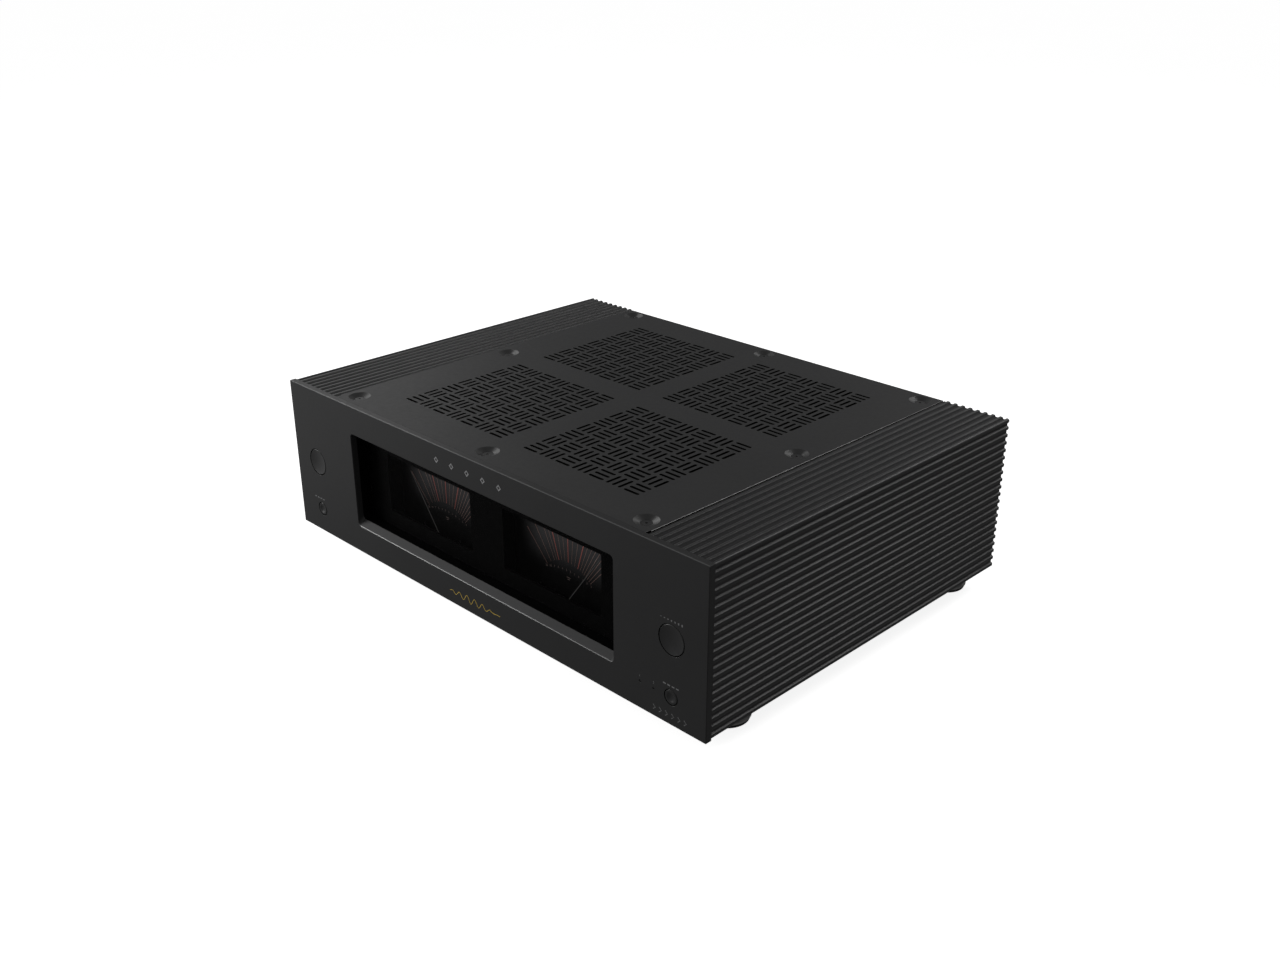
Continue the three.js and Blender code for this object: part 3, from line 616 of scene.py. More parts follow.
def make_floor():
    data = bpy.data.meshes.new("floor")
    reach = 30.0
    corners = [(-reach, -reach, 0), (reach, -reach, 0), (reach, reach, 0), (-reach, reach, 0)]
    data.from_pydata(corners, [], [(0, 1, 2, 3)])
    floor = bpy.data.objects.new("floor", data)
    bpy.context.scene.collection.objects.link(floor)
    data.materials.append(floor_material())


def area_light(name, place, size, power):
    data = bpy.data.lights.new(name, "AREA")
    data.shape = "RECTANGLE"
    data.size, data.size_y = size
    data.energy = power
    light = bpy.data.objects.new(name, data)
    light.location = place
    toward = Vector((0, 0, 0.07)) - Vector(place)
    light.rotation_euler = toward.to_track_quat("-Z", "Y").to_euler()
    light.visible_camera = False
    bpy.context.scene.collection.objects.link(light)


def make_world():
    """A white backdrop to the camera and a soft grey surround to the object."""
    world = bpy.data.worlds.new("studio")
    bpy.context.scene.world = world
    world.use_nodes = True
    nodes, links = world.node_tree.nodes, world.node_tree.links
    nodes.clear()
    soft = nodes.new("ShaderNodeBackground")
    soft.inputs["Strength"].default_value = SURROUND
    white = nodes.new("ShaderNodeBackground")
    white.inputs["Strength"].default_value = 1.0
    for background in (soft, white):
        background.inputs["Color"].default_value = (1, 1, 1, 1)
    out = nodes.new("ShaderNodeOutputWorld")
    shader = camera_mix(nodes, links, white.outputs["Background"], soft.outputs["Background"])
    links.new(shader, out.inputs["Surface"])


def make_studio():
    make_camera()
    make_floor()
    make_world()
    for name, (place, size, power) in LIGHTS.items():
        area_light(name, place, size, power)
    bpy.context.scene.view_settings.view_transform = "Standard"


# ---- front --------------------------------------------------------------------------------

EDGE = 0.45  # chamfer along the front panel's outer edges
WINDOW_CORNER = 3.0
WINDOW_HALF = 139.0
WINDOW_TOP = 97.3
WINDOW_BOTTOM = 22.4
SILL_BACK = 26.7
BUTTON_FLANGES = {  # how far each button's flange reaches past its cap
    "power_button": 1.8,
    "meter_button": 1.8,
    "input_button": 1.5,
    "speaker_button": 1.5,
}
HOLE_GAP = 0.55
BUTTON_RIM = 0.35
LARGE_BUTTON = 8.0  # smallest cap radius of a large button
BUTTON_DISH = 1.35  # depth of a large button's dished face

PLATE_LOOKS = ("panel", "plastic", "machined", "edge_painted_highlight")
SHADED = 1  # the second look of a plate, painted shade: a near-black look on walls that lie in the dark
MACHINED = 2  # the third, for the dishes round the cover's screws
PAINTED_HIGHLIGHT = 3  # the fourth, a painted highlight: a lighter colour on narrow chamfers that makes them show as bright lines


def button_facts(node):
    """The centre and the cap radius of a button, from its CAD solid's flange."""
    low, high = cad_box(node)
    x, _, z = middle(low, high)
    return x, z, (high.x - low.x) / 2 - BUTTON_FLANGES[node]


def front_panel():
    half = PANEL_WIDTH / 2
    deep = PANEL_THICKNESS
    outer = [
        (0.0, rounded(-half, half, 0, PANEL_HEIGHT, 0.8, -EDGE, 3), PAINTED_HIGHLIGHT),
        (EDGE, rounded(-half, half, 0, PANEL_HEIGHT, 0.8, 0.0, 3)),
        (deep - 0.2, rounded(-half, half, 0, PANEL_HEIGHT, 0.8, 0.0, 3)),
        (deep, rounded(-half, half, 0, PANEL_HEIGHT, 0.8, -0.2, 3)),
    ]

    def window(bottom, grow):
        return rounded(-WINDOW_HALF, WINDOW_HALF, bottom, WINDOW_TOP, WINDOW_CORNER, grow)

    opening = [
        (0.0, window(WINDOW_BOTTOM, 0.28), PAINTED_HIGHLIGHT),
        (0.28, window(WINDOW_BOTTOM + 0.25, 0.0)),
        (deep, window(SILL_BACK, 0.0)),
    ]
    # The walls of the button and lamp holes below carry painted shade.
    holes = []
    for node in BUTTON_FLANGES:
        x, z, radius = button_facts(node)
        radius += HOLE_GAP
        holes.append([
            (0.0, circle(x, z, radius + 0.12, 64)), (0.12, circle(x, z, radius, 64), SHADED),
            (deep, circle(x, z, radius, 64)),
        ])
    for node in ("indicator_a", "indicator_b"):
        low, high = cad_box(node)
        x, _, z = middle(low, high)
        holes.append([
            (0.0, circle(x, z, 0.95, 20)), (0.15, circle(x, z, 0.8, 20), SHADED),
            (deep, circle(x, z, 0.8, 20)),
        ])
    shape = Shape()
    shape.plate("y", [outer, opening, *holes])
    # Keeps the painted highlight only on the chamfer along the top edge and on the one along the
    # window's lower edge.
    shape.change_look(PAINTED_HIGHLIGHT, 0, lambda c: c.z < PANEL_HEIGHT - 1 and (
        abs(c.x) > WINDOW_HALF or not 1 < c.z < WINDOW_BOTTOM + 1))
    shape.piece("front_panel_plate", "chassis", "black_anodised_panel",
                [LOOKS[look] for look in PLATE_LOOKS], ["front_panel"])


def dished(radius, deep, steps=10):
    """The profile of a dished face, from its middle to its rim, along y."""
    return [
        (radius * k / steps, deep * (1 - (k / steps) ** 2)) for k in range(steps + 1)
    ]


def buttons():
    back = PANEL_THICKNESS + 0.3
    for node in BUTTON_FLANGES:
        x, z, radius = button_facts(node)
        rim = BUTTON_RIM
        shape = Shape()
        face = dished(radius - rim, BUTTON_DISH)
        if radius < LARGE_BUTTON:
            inner = radius * 0.66
            face = dished(inner, 0.9, 8) + [(inner + 0.15, -0.05), (radius - rim, -0.05)]
        tail = [(radius, rim), (radius, back), (radius + 1.6, back), (radius + 1.6, back + 1.5),
                (3.0, back + 1.5), (3.0, back + 4.2), (0.0, back + 4.2)]
        shape.turned("y", face + tail, (x, z), 72)
        shape.piece(node + "_cap", node, "button_black", LOOKS["turned"], [node])


def indicators():
    for node in ("indicator_a", "indicator_b"):
        low, high = cad_box(node)
        x, _, z = middle(low, high)
        shape = Shape()
        profile = [(0.0, 0.25), (0.4, 0.3), (0.7, 0.5), (0.7, 5.4), (1.5, 5.4), (1.5, 9.0),
                   (0.0, 9.0)]
        shape.turned("y", profile, (x, z), 24)
        shape.piece(node + "_lens", "chassis", "indicator_lens", LOOKS["dark_lens"], [node])


LOZENGE_ROW, LOZENGE_PITCH, LOZENGE_SHIFT = 108.1, 16.65, -0.7
LOZENGE_RADII = (2.4, 1.3)  # outer and inner
WAVE_START, WAVE_LENGTH, WAVE_ROW = -27.7, 55.4, 10
WAVE_HEIGHT, WAVE_TURNS = 2.6, 6.5


def ornaments():
    """Plain marks in place of lettering: five lozenges, a wave, chevrons and small signs."""
    lozenges = Shape()
    for k in range(5):
        x, z = (k - 2) * LOZENGE_PITCH + LOZENGE_SHIFT, LOZENGE_ROW
        outer, inner = [
            [(x - r, z), (x, z - r), (x + r, z), (x, z + r)] for r in LOZENGE_RADII
        ]
        lozenges.plate("y", [[(-0.08, outer), (0.02, outer)], [(-0.08, inner), (0.02, inner)]])
    lozenges.piece("lozenge_row", "chassis", "black_anodised_panel", LOOKS["silver"])

    wave = Shape()
    steps = 120
    points = []
    for k in range(steps + 1):
        t = k / steps
        swell = math.sin(math.pi * min(1.0, t * 1.15)) ** 0.7 if t < 0.87 else 0.06
        rise = WAVE_HEIGHT * swell * math.sin(2 * math.pi * WAVE_TURNS * t)
        points.append((WAVE_START + WAVE_LENGTH * t, WAVE_ROW + rise))
    stroke(wave, points, 0.42, 0.02, 0.08)
    wave.piece("gold_wave", "chassis", "black_anodised_panel", LOOKS["gold_ink"])

    signs = Shape()
    for k in range(7):
        x = 179.4 + k * 2.85
        tall = 0.5 + 0.17 * k
        signs.block((x, -0.06, 72.7 - tall / 2), (x + 1.0, 0.02, 72.7 + tall / 2), 0.0)
    for side, x0, z0 in ((1, 182.0, 27.8), (-1, -197.6, 28.4)):
        for k in range(4):
            x = x0 + k * 3.6
            signs.block((x, -0.06, z0 - 0.45), (x + 2.2, 0.02, z0 + 0.45), 0.0)
    lettering(signs, "1", 2.6, (162.2, 23.7), 0.0, 0.1)
    lettering(signs, "2", 2.6, (174.0, 23.7), 0.0, 0.1)
    signs.piece("panel_signs", "chassis", "black_anodised_panel", LOOKS["grey_ink"])

    chevrons = Shape()
    for k in range(6):
        x = 173.6 + k * 5.2
        stroke(chevrons, [(x, 5.0), (x + 2.0, 6.75), (x, 8.5)], 0.5, 0.02, 0.06)
    chevrons.piece("chevron_row", "chassis", "black_anodised_panel", LOOKS["grey_ink"])


# ---- window and meters --------------------------------------------------------------------

MASK_INNER, MASK_OUTER, MASK_LOW, MASK_HIGH = 17.5, 114.0, 38.5, 84.0
MASK_FRONT, MASK_BACK = 14.0, 16.0


def bezel():
    low, high = cad_box("meter_bezel")
    frame_outer = front_outline(low, high, 2)
    pocket = rounded(-WINDOW_HALF - 0.2, WINDOW_HALF + 0.2, SILL_BACK - 0.3, WINDOW_TOP + 0.2, 3)
    shape = Shape()
    shape.plate("y", [
        [(low.y, frame_outer), (MASK_FRONT, frame_outer)],
        [(low.y, pocket), (MASK_FRONT, pocket)],
    ])
    shape.piece("window_recess", "chassis", "bezel_black", LOOKS["plastic"])

    mask = Shape()
    openings = []
    for side in (-1, 1):
        x0, x1 = sorted((side * MASK_INNER, side * MASK_OUTER))
        hole = rounded(x0, x1, MASK_LOW, MASK_HIGH, 1.0)
        openings.append([(MASK_FRONT + 0.02, hole), (MASK_BACK, hole)])
    mask.plate("y", [[(MASK_FRONT + 0.02, frame_outer), (MASK_BACK, frame_outer)], *openings])
    mask.piece("meter_mask", "chassis", "bezel_black", LOOKS["plastic"], ["meter_bezel"])


def window_glass():
    low, high = cad_box("window_glass")
    shape = Shape()
    outline = front_outline(low, high, 2.5)
    inner = front_outline(low, high, 2.5, -0.3)
    shape.plate("y", [[
        (low.y, inner), (low.y + 0.3, outline), (high.y - 0.3, outline), (high.y, inner),
    ]])
    shape.piece("window_pane", "chassis", "window_glass", LOOKS["glass"], ["window_glass"])


DIAL_PIVOT_Z = 24.0
DIAL_GLOW = (0.027, 0.0265, 0.027)
RED_RAYS = (-17.4, 0.0, 17.4)  # degrees from upright
PALE_RAYS = (-43, -34, -26, -21.5, -11.6, -5.8, 5.8, 11.6, 21.5, 25.5, 29, 32.5, 36, 39.5, 43)
RAY_INNER, RAY_OUTER = 31.0, 60.0
DIAL_NUMBERS = ("20", "10", "7", "5", "4", "3", "2", "1", "0", "1", "2", "3")


def dial_material(centre):
    """A dark printed face with a painted glow: a pool of light from above that fades to black
    downwards and to the left.
    """
    look = Look("dial_face_" + ("left" if centre < 0 else "right"), (0.002, 0.002, 0.0022), 0.6)
    look.set("Specular IOR Level", 0.05)
    split = look.nodes.new("ShaderNodeSeparateXYZ")
    look.links.new(look.coordinates.outputs["Object"], split.inputs["Vector"])

    def span(value, start, end):
        place = look.nodes.new("ShaderNodeMapRange")
        place.interpolation_type = "SMOOTHSTEP"
        place.inputs["From Min"].default_value = start
        place.inputs["From Max"].default_value = end
        look.links.new(value, place.inputs["Value"])
        return place.outputs["Result"]

    product = look.nodes.new("ShaderNodeMath")
    product.operation = "MULTIPLY"
    middle = ORIGIN.x + centre * MM
    upward = span(split.outputs["Z"], ORIGIN.z + 41 * MM, ORIGIN.z + 74 * MM)
    from_left = span(split.outputs["X"], middle - 50 * MM, middle - 22 * MM)
    look.links.new(upward, product.inputs[0])
    look.links.new(from_left, product.inputs[1])
    # Painted light: the emission paints the pool of light on the face, which is no lamp.
    glow = look.ramp(product.outputs["Value"], (0.0, 0.0, 0.0), DIAL_GLOW, (0.0, 1.0))
    look.links.new(glow, look.shader.inputs["Emission Color"])
    look.set("Emission Strength", 1.0)
    look.vary_roughness(0.55, 0.65, 500)
    return look.material


def dial_rays(centre, front, degrees, width):
    """Printed rays that point away from the needle's pivot."""
    shape = Shape()
    for angle in map(math.radians, degrees):
        ends = [
            (centre + r * math.sin(angle), DIAL_PIVOT_Z + r * math.cos(angle))
            for r in (RAY_INNER, RAY_OUTER)
        ]
        stroke(shape, ends, lambda t: width * (0.6 + 0.8 * t), front - 0.02, 0.05)
    return shape


def dial_numbers(centre, front):
    """Small numbers along a shallow arc and two bars under them."""
    shape = Shape()
    for k, text in enumerate(DIAL_NUMBERS):
        across = 22.0 * (2 * k / (len(DIAL_NUMBERS) - 1) - 1)
        lettering(shape, text, 2.1, (centre + across, 48.6 - across ** 2 / 136), front - 0.03, 0.05)
    for dx, dz, half in ((0, 43.6, 1.9), (0, 42.2, 1.1)):
        low = (centre + dx - half, front - 0.06, dz - 0.22)
        shape.block(low, (centre + dx + half, front - 0.02, dz + 0.22), 0.0)
    return shape


def dial_dots(centre, front):
    shape = Shape()
    for dx in (-28.6, -14, 14):
        profile = [(0, front - 0.4), (0.7, front - 0.35), (0.9, front - 0.02), (0, front - 0.02)]
        shape.turned("y", profile, (centre + dx, 29), 16)
    return shape


def meter_dials():
    """The dial plates with what is printed on them."""
    for side in ("left", "right"):
        low, high = cad_box("meter_dial_" + side)
        centre = (low.x + high.x) / 2
        front = low.y
        shape = Shape()
        outline = front_outline(low, high, 2)
        hole = circle(centre, DIAL_PIVOT_Z, 2.6, 32)
        shape.plate("y", [[(front, outline), (high.y, outline)], [(front, hole), (high.y, hole)]])
        shape.piece("dial_face_" + side, "chassis", "dial_grey", dial_material(centre),
                    ["meter_dial_" + side])
        prints = (
            ("red_rays", dial_rays(centre, front, RED_RAYS, 0.75), "red_print"),
            ("pale_rays", dial_rays(centre, front, PALE_RAYS, 0.3), "pale_print"),
            ("numbers", dial_numbers(centre, front), "number_print"),
            ("dots", dial_dots(centre, front), "screw"),
        )
        for name, print_shape, look in prints:
            print_shape.piece(f"dial_{name}_{side}", "chassis", "dial_grey", LOOKS[look])


def meter_housings():
    """The black trays behind the mask, as thin walls round each dial, with the magnet core."""
    for side in ("left", "right"):
        low, high = cad_box("meter_housing_" + side)
        outer = front_outline(low, high, 2)
        inner = front_outline(low, high, 1.5, -2)
        shape = Shape()
        shape.plate("y", [
            [(low.y, outer), (high.y - 2, outer)], [(low.y, inner), (high.y - 2, inner)],
        ])
        back = Shape()
        back.plate("y", [[(high.y - 1.95, outer), (high.y, outer)]])
        centre = (low.x + high.x) / 2
        back.turned("y", [(1.6, 32.5), (8.0, 32.5), (8.5, 33.0), (8.5, high.y - 1.95)],
                    (centre, 24), 40)
        shape.piece("meter_tray_" + side, "chassis", "bezel_black", LOOKS["plastic"])
        back.piece("meter_back_" + side, "chassis", "bezel_black", LOOKS["plastic"],
                   ["meter_housing_" + side])


def needles():
    """Each needle is drawn upright about its pivot and turned to the angle of its CAD solid."""
    for joint in frame["joints"]:
        if not joint["name"].startswith("needle_"):
            continue
        side = joint["child"].removeprefix("needle_")
        node = "meter_needle_" + side
        low, high = cad_box(node)
        pivot = (Vector(joint["pos_m"]) - ORIGIN) / MM
        tip_x = low.x if side == "left" else high.x
        angle = math.atan2(tip_x - pivot.x, high.z - pivot.z)
        length = math.hypot(tip_x - pivot.x, high.z - pivot.z)
        shape = Shape()
        stroke(shape, [(0, -7.5), (0, -2)], lambda t: 2.0 - 0.8 * t, 24.8, 0.6)
        stroke(shape, [(0, 0), (0, length)], lambda t: 0.6 - 0.25 * t, 24.75, 0.4)
        shape.turned("y", [(0, 23.6), (2.8, 23.6), (3.4, 24.0), (3.6, 25.4), (1.1, 25.4),
                           (1.1, 46.0), (0, 46.0)], (0, 0), 32)
        shape.move(
            Matrix.Translation((pivot.x, 0, pivot.z)) @ Matrix.Rotation(angle, 4, "Y")
        )
        shape.piece("needle_" + side + "_pointer", joint["child"], "needle_grey",
                    LOOKS["needle"], [node])


# ---- body ---------------------------------------------------------------------------------

SIDE_RIDGES = 21
SIDE_RIDGE_FIRST = 1.7
SIDE_RIDGE_PITCH = 5.755
TOP_RIDGES = 8
TOP_RIDGE_PITCH = 6.25
TOP_RIDGE_FIRST = 166.5
RIDGE_HEIGHT = 1.3
RIDGE_CREST, RIDGE_FOOT = 0.9, 1.9  # half widths at the top and at the bottom
SINK_WALL = 6.8
GROOVE = 1  # the second look of a heat sink, for the bottoms of its top grooves: a duller copy of the anodising in a lighter colour, painted light
COVER_EDGE = 163.0
LIP_EDGE = 141.0


def bead(steps=7):
    """A soft ridge as (across, height) pairs from foot to foot."""
    rise = []
    for k in range(steps + 1):
        t = k / steps
        across = RIDGE_FOOT + (RIDGE_CREST - RIDGE_FOOT) * t
        rise.append((across, RIDGE_HEIGHT * t * t * (3 - 2 * t)))
    return [(-across, height) for across, height in rise] + rise[::-1]


def sink_outline(outer, bottom, top):
    """The section of the right heat sink as [x, z] points, upwards along the ribbed side."""
    side_base, top_base = outer - RIDGE_HEIGHT, top - RIDGE_HEIGHT
    inner = side_base - SINK_WALL
    points = [(inner, bottom), (side_base, bottom)]
    for k in range(SIDE_RIDGES - 1):
        z = bottom + SIDE_RIDGE_FIRST + k * SIDE_RIDGE_PITCH
        points += [(side_base + height, z + across) for across, height in bead()
                   if z + across > bottom]
    corner_x, corner_z, radius = outer - 1.7, top - 1.7, 1.7
    points += [(side_base, corner_z - 2.3), (side_base + 0.25, corner_z - 1.9)]
    for k in range(13):
        angle = math.radians(-45 + 180 * k / 12)
        points.append((corner_x + radius * math.cos(angle), corner_z + radius * math.sin(angle)))
    points += [(corner_x - 1.9, top_base + 0.25), (corner_x - 2.3, top_base)]
    for k in reversed(range(TOP_RIDGES)):
        x = TOP_RIDGE_FIRST + k * TOP_RIDGE_PITCH
        points += [(x - across, top_base + height) for across, height in bead()]
    lip = top - 4.3
    points += [(COVER_EDGE + 1.2, top_base), (COVER_EDGE + 0.4, top_base + 0.5),
               (COVER_EDGE, top_base + 0.5), (COVER_EDGE, lip), (LIP_EDGE, lip),
               (LIP_EDGE, lip - 4), (COVER_EDGE, lip - 4), (COVER_EDGE, top_base - SINK_WALL - 1),
               (inner, top_base - SINK_WALL - 1)]
    return points


def heat_sinks():
    for side, sign in (("left", -1), ("right", 1)):
        low, high = cad_box("heat_sink_" + side)
        outer = max(abs(low.x), abs(high.x))
        outline = [(sign * x, z) for x, z in sink_outline(outer, low.z, high.z)]
        shape = Shape()
        front = shape.ring([(x, low.y, z) for x, z in outline])
        back = shape.ring([(x, high.y, z) for x, z in outline])
        shape.bridge(front, back)
        valley = high.z - RIDGE_HEIGHT
        shape.change_look(0, GROOVE, lambda c: valley - 0.1 < c.z < valley + 0.35
                          and abs(c.x) < outer - 2)
        shape.fill([front])
        shape.fill([back])
        shape.piece("ribbed_side_" + side, "chassis", "black_anodised_sink",
                    [LOOKS["sink"], LOOKS["groove"]],
                    ["heat_sink_" + side], 40)


VENT_CENTRES = [(x, y) for x in (-66.6, 66.6) for y in (93.8, 228.7)]
VENT_CELLS = 7
VENT_PITCH = 16.08
SLOT_LENGTH, SLOT_WIDTH = 13.3, 2.3
NOTCH_WIDTH, NOTCH_LENGTH = 1.2, 4.0  # relief at the cover's front corners
DISH_RADIUS, DISH_FLOOR, DISH_DEPTH = 8.3, 4.0, 2.0


def vent_slots():
    """Centre and direction of every slot."""
    middle = (VENT_CELLS - 1) / 2
    for centre_x, centre_y in VENT_CENTRES:
        for column in range(VENT_CELLS):
            for row in range(VENT_CELLS):
                along_x = (column + row) % 2 == 0
                for step in (-1, 0, 1):
                    aside = step * VENT_PITCH / 3
                    x = centre_x + (column - middle) * VENT_PITCH + (0 if along_x else aside)
                    y = centre_y + (row - middle) * VENT_PITCH + (aside if along_x else 0)
                    yield x, y, along_x


def screw_nodes():
    return [n for n in frame["nodes"] if n.startswith("cover_screw_")]


def top_cover():
    low, high = cad_box("top_cover")
    top, bottom = high.z, low.z
    x0, x1, y0, y1 = low.x, high.x, low.y, high.y
    notch, notch_depth = NOTCH_WIDTH, NOTCH_LENGTH

    def outer(inset):
        """The plate's outline, with a small relief notch at both front corners."""
        return [
            (x0 + notch + inset, y0 + inset), (x1 - notch - inset, y0 + inset),
            (x1 - notch - inset, y0 + notch_depth + inset), (x1 - inset, y0 + notch_depth + inset),
            (x1 - inset, y1 - inset), (x0 + inset, y1 - inset),
            (x0 + inset, y0 + notch_depth + inset), (x0 + notch + inset, y0 + notch_depth + inset),
        ]

    # Painted shade on the cover's side wall below its edge, on its slots and in the holes under its
    # screws.
    outlines = [[(top, outer(0.25), PAINTED_HIGHLIGHT), (top - 0.2, outer(0.0), SHADED), (bottom, outer(0.0))]]
    for x, y, along_x in vent_slots():
        slot = slot_outline(x, y, SLOT_LENGTH, SLOT_WIDTH, along_x)
        outlines.append([(top, slot, SHADED), (bottom, slot)])
    for node in screw_nodes():
        a, b = cad_box(node)
        x, y, _ = middle(a, b)
        outlines.append([
            (top, circle(x, y, DISH_RADIUS, 72), MACHINED),
            (top - DISH_DEPTH, circle(x, y, DISH_FLOOR, 72)),
            (top - DISH_DEPTH - 1.2, circle(x, y, DISH_FLOOR, 72)),
            (top - DISH_DEPTH - 1.2, circle(x, y, 2.2, 72), SHADED),
            (bottom, circle(x, y, 2.2, 72)),
        ])
    shape = Shape()
    shape.plate("z", outlines)
    # Keeps the painted highlight only on the chamfers along the two side edges, behind the notches.
    shape.change_look(PAINTED_HIGHLIGHT, 0, lambda c: abs(c.x) < x1 - 0.5 or c.y < y0 + notch_depth)
    shape.piece("vented_cover", "chassis", "black_anodised_panel",
                [LOOKS[look] for look in PLATE_LOOKS], ["top_cover"])


def cover_screws():
    for node in screw_nodes():
        low, high = cad_box(node)
        x, y, _ = middle(low, high)
        top = high.z
        shape = Shape()
        socket = 0.95
        outer = [
            (top - 1.1, circle(x, y, 3.9, 48)), (top - 0.15, circle(x, y, 3.9, 48)),
            (top, circle(x, y, 3.75, 48)),
        ]
        rings = [shape.ring([(u, v, z) for u, v in points]) for z, points in outer]
        for a, b in zip(rings, rings[1:]):
            shape.bridge(a, b)
        mouth = shape.ring([(u, v, top) for u, v in circle(x, y, socket + 0.1, 6)])
        wall = shape.ring([(u, v, top - 0.15) for u, v in circle(x, y, socket, 6)])
        floor = shape.ring([(u, v, top - 0.9) for u, v in circle(x, y, socket, 6)])
        shape.bridge(mouth, wall)
        shape.bridge(wall, floor)
        shape.cap(floor)
        shape.fill([rings[-1], mouth])
        shank = shape.ring([(u, v, top - 1.1) for u, v in circle(x, y, 1.9, 48)])
        end = shape.ring([(u, v, low.z) for u, v in circle(x, y, 1.7, 48)])
        shape.bridge(rings[0], shank)
        shape.bridge(shank, end)
        shape.cap(end)
        shape.piece(node + "_head", "chassis", "screw_black", LOOKS["turned"], [node])


def feet():
    """Each foot is a black body, a bright ring and a rubber sole."""
    for node in sorted(frame["nodes"]):
        if not node.startswith("foot_"):
            continue
        low, high = cad_box(node)
        x, y, _ = middle(low, high)
        radius, ground, top = (high.x - low.x) / 2, low.z, high.z
        body = Shape()
        body.turned("z", [
            (0, top), (radius - 1.2, top), (radius - 0.6, top - 0.6), (radius - 0.6, ground + 5.6),
            (radius - 1.6, ground + 5.2), (0, ground + 5.2),
        ], (x, y), 64)
        ring = Shape()
        ring.turned("z", [
            (0, ground + 5.1), (radius - 0.9, ground + 5.1), (radius, ground + 4.3),
            (radius, ground + 3.0), (radius - 0.5, ground + 2.5), (0, ground + 2.5),
        ], (x, y), 64)
        sole = Shape()
        sole.turned("z", [
            (0, ground + 2.4), (radius - 1.0, ground + 2.4), (radius - 0.6, ground + 1.8),
            (radius - 1.0, ground + 0.5), (radius - 2.0, ground), (radius - 5.0, ground),
            (radius - 5.6, ground + 0.6), (0, ground + 0.6),
        ], (x, y), 64)
        body.piece(node + "_body", "chassis", "foot_black", LOOKS["rubber"])
        ring.piece(node + "_ring", "chassis", "foot_black", LOOKS["ring"])
        sole.piece(node + "_sole", "chassis", "foot_black", LOOKS["rubber"], [node])


# ---- rear ---------------------------------------------------------------------------------


def rear_details():
    """Fine versions of the sockets, the terminals and their caps."""
    back = cad_box("rear_panel")[1].y
    for side in ("left", "right"):
        low, high = cad_box("terminal_block_" + side)
        base = Shape()
        outline = front_outline(low, high, 3)
        base.plate("y", [[
            (low.y, outline), (low.y + 2.4, outline),
            (low.y + 3.0, front_outline(low, high, 3, -0.6)),
        ]])
        studs = Shape()
        for k in range(1, 5):
            a, b = cad_box(f"terminal_cap_{side}_{k}")
            x, _, z = middle(a, b)
            base.turned("y", [(0, low.y + 3.0), (6.4, low.y + 3.0), (6.4, low.y + 4.6),
                              (6.0, low.y + 5.0), (2.6, low.y + 5.0), (2.6, low.y + 3.2)], (x, z), 40)
            thread = [(0, low.y + 2.0), (2.5, low.y + 2.0)]
            turns = 16
            for t in range(turns):
                y = low.y + 3.4 + t * 0.8
                thread += [(2.5, y), (2.1, y + 0.4)]
            thread += [(2.1, high.y - 0.3), (1.8, high.y), (0, high.y)]
            studs.turned("y", thread, (x, z), 24)
        base.piece("terminal_base_" + side, "chassis", "socket_plastic", LOOKS["socket"],
                   ["terminal_block_" + side])
        studs.piece("terminal_studs_" + side, "chassis", "gold_plate", LOOKS["gold"])
        for k in range(1, 5):
            terminal_cap(side, k)
    phono_sockets(back)
    for side in ("left", "right"):
        balanced_socket(side)
    mains_inlet()
    selector()


def terminal_cap(side, k):
    """A knurled cap: gold collar and nose, with a coloured or black grip between them."""
    node = f"terminal_cap_{side}_{k}"
    low, high = cad_box(node)
    x, _, z = middle(low, high)
    bore = 2.9
    metal = Shape()
    metal.turned("y", [
        (bore, low.y), (5.6, low.y), (6.0, low.y + 0.4), (6.0, high.y - 1.2), (5.4, high.y - 0.3),
        (5.0, high.y), (bore + 0.4, high.y), (bore, high.y - 0.4), (bore, low.y),
    ], (x, z), 40)
    body = f"cap_{side}_{k}"
    metal.piece(node + "_core", body, "gold_plate", LOOKS["gold"])
    grip = Shape()
    lobes = 18
    outer = []
    for step in range(lobes * 4):
        angle = 2 * math.pi * step / (lobes * 4)
        radius = 7.75 + 0.25 * math.cos(lobes * angle)
        outer.append((x + radius * math.cos(angle), z + radius * math.sin(angle)))
    inner = circle(x, z, 6.02, lobes * 4)
    trimmed = circle(x, z, 7.2, lobes * 4)
    grip.plate("y", [
        [(low.y + 3.0, trimmed), (low.y + 3.5, outer), (high.y - 2.0, outer),
         (high.y - 1.4, trimmed)],
        [(low.y + 3.0, inner), (high.y - 1.4, inner)],
    ])
    hot = k in (1, 3) if side == "left" else k in (2, 4)
    colour = LOOKS["red_ring"] if hot else LOOKS["socket"]
    grip.piece(node + "_grip", body, "socket_plastic", colour, [node])


def phono_sockets(back):
    low, high = cad_box("phono_sockets")
    z = (low.z + high.z) / 2
    carrier = Shape()
    carrier.block((low.x, low.y, low.z), (high.x, back - 2.3, high.z), 0.5)
    carrier.piece("phono_carrier", "chassis", "gold_plate", LOOKS["socket"], ["phono_sockets"])
    barrels = Shape()
    for sign in (-1, 1):
        barrels.turned("y", [
            (4.7, back - 2.5), (4.15, back - 2.5), (4.15, high.y - 0.5), (3.8, high.y), (3.2, high.y),
            (3.2, back + 1.0), (1.7, back + 1.0), (1.7, back + 8.0), (1.5, back + 8.2),
            (1.5, back - 1.0), (4.7, back - 1.0), (4.7, back - 2.5),
        ], (sign * 10, z), 48)
    barrels.piece("phono_barrels", "chassis", "gold_plate", LOOKS["gold"])
    for sign, name, colour in ((-1, "red", "red_ring"), (1, "white", "white_ring")):
        insert = Shape()
        insert.turned("y", [(3.15, back + 1.2), (1.75, back + 1.2), (1.75, back + 7.6),
                            (3.15, back + 7.6), (3.15, back + 1.2)], (sign * 10, z), 40)
        insert.piece("phono_insert_" + name, "chassis", "socket_plastic", LOOKS[colour])


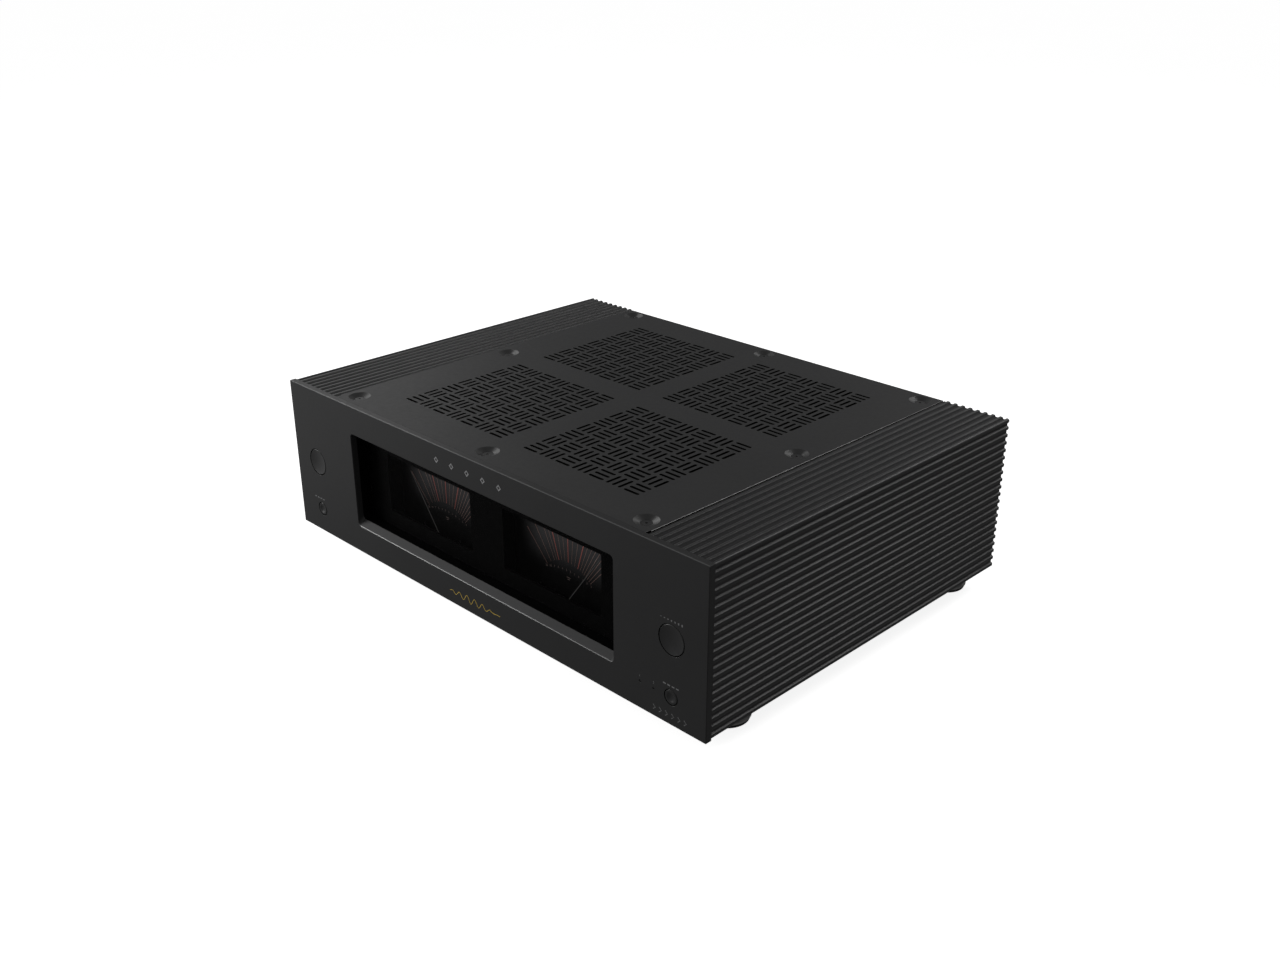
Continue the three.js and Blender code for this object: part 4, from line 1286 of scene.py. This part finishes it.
def balanced_socket(side):
    low, high = cad_box("balanced_socket_" + side)
    x, _, z = middle(low, high)
    face = high.y - 0.6
    flange = Shape()
    outline = front_outline(low, high, 2.5)
    holes = [circle(x + sx * 9.5, z + sz * 12, 1.6, 24) for sx, sz in ((-1, 1), (1, -1))]
    ring_outer, ring_inner = circle(x, z, 9.6, 56), circle(x, z, 9.6, 56)
    flange.plate("y", [
        [(face - 2, outline), (face - 0.3, outline),
         (face, front_outline(low, high, 2.5, -0.3))],
        [(face - 2, ring_inner), (face, ring_outer)],
        *[[(face - 2, hole), (face, hole)] for hole in holes],
    ])
    flange.piece("balanced_flange_" + side, "chassis", "socket_plastic", LOOKS["socket"],
                 ["balanced_socket_" + side])
    core = Shape()
    contacts = []
    for degrees in (90, 210, 330):
        angle = math.radians(degrees)
        contacts.append(circle(x + 4.6 * math.cos(angle), z + 4.6 * math.sin(angle), 1.4, 20))
    core.turned("y", [(8.1, face - 9), (9.55, face - 9), (9.55, face + 0.4), (9.2, face + 0.6),
                      (8.4, face + 0.6), (8.1, face + 0.3), (8.1, face - 9)], (x, z), 56)
    core.plate("y", [
        [(low.y, circle(x, z, 8.0, 48)), (face - 8.9, circle(x, z, 8.0, 48)),
         (face - 8.9, circle(x, z, 7.0, 48)), (face - 0.4, circle(x, z, 7.0, 48)),
         (face, circle(x, z, 6.7, 48))],
        *[[(low.y, hole), (face, hole)] for hole in contacts],
    ])
    core.piece("balanced_core_" + side, "chassis", "socket_plastic", LOOKS["socket"])
    screws = Shape()
    for sx, sz in ((-1, 1), (1, -1)):
        screws.turned("y", [(0, face - 1.2), (1.5, face - 1.2), (1.5, face + 0.1), (1.2, face + 0.4),
                            (0, face + 0.5)], (x + sx * 9.5, z + sz * 12), 24)
    screws.piece("balanced_screws_" + side, "chassis", "screw_black", LOOKS["screw"])


def mains_inlet():
    low, high = cad_box("mains_inlet")
    x, _, z = middle(low, high)
    face = high.y
    shape = Shape()

    def keyed(grow):
        """The socket's outline: a rectangle with its two upper corners cut off."""
        w, h, c = 12.2 + grow, 8.2 + grow, 4.0
        return [(x - w, z - h), (x + w, z - h), (x + w, z + h - c), (x + w - c, z + h),
                (x - w + c, z + h), (x - w, z + h - c)]

    outline = front_outline(low, high, 2)
    shape.plate("y", [
        [(face - 2.7, outline), (face - 0.5, outline),
         (face, front_outline(low, high, 2, -0.5))],
        [(face - 2.7, keyed(0.0)), (face - 0.4, keyed(0.0)), (face, keyed(0.4))],
    ])
    shell = [(x - 13.6, z - 9.8), (x + 13.6, z - 9.8), (x + 13.6, z + 9.8), (x - 13.6, z + 9.8)]
    shape.plate("y", [
        [(face - 16, shell), (face - 2.8, shell)],
        [(face - 16, keyed(0.0)), (face - 2.8, keyed(0.0))],
    ])
    shape.plate("y", [[(low.y, shell), (face - 16.1, shell)]])
    shape.piece("inlet_shell", "chassis", "socket_plastic", LOOKS["socket"], ["mains_inlet"])
    blades = Shape()
    for dx, dz in ((-7, -2), (0, 3), (7, -2)):
        blades.block((x + dx - 1, face - 16, z + dz - 2), (x + dx + 1, face - 6, z + dz + 2), 0.5)
    blades.piece("inlet_blades", "chassis", "bare_steel", LOOKS["ring"])


def selector():
    low, high = cad_box("selector_switch")
    x, _, z = middle(low, high)
    shape = Shape()
    shape.block((x - 8, low.y, z - 4), (x + 8, low.y + 6, z + 4), 0.4)
    shape.block((x - 2, low.y + 5.8, z - 1.9), (x + 2, high.y, z + 1.9), 0.35)
    for k in range(3):
        rib = x + (k - 1) * 1.1
        shape.block((rib - 0.25, high.y - 0.1, z - 1.6), (rib + 0.25, high.y + 0.25, z + 1.6), 0.1)
    shape.piece("selector_lever", "selector_switch", "socket_plastic", LOOKS["socket"],
                ["selector_switch"])


# ---- carried-over CAD nodes ---------------------------------------------------------------

CARRIED = {
    "front_subchassis": "sheet",
    "transformer_clamp": "sheet",
    "rear_panel": "powder",
    "bottom_plate": "powder",
    "transformer": "winding",
    "filter_capacitor_left": "sleeve",
    "filter_capacitor_right": "sleeve",
    "output_module_left": "socket",
    "output_module_right": "socket",
}


def dress_carried_nodes():
    for name, node in frame["nodes"].items():
        look = CARRIED.get(name) or ("board" if "board" in name else None)
        if look:
            node.data.materials.clear()
            node.data.materials.append(LOOKS[look])


make_studio()
front_panel()
buttons()
indicators()
ornaments()
bezel()
window_glass()
meter_dials()
meter_housings()
needles()
heat_sinks()
top_cover()
cover_screws()
feet()
rear_details()
dress_carried_nodes()
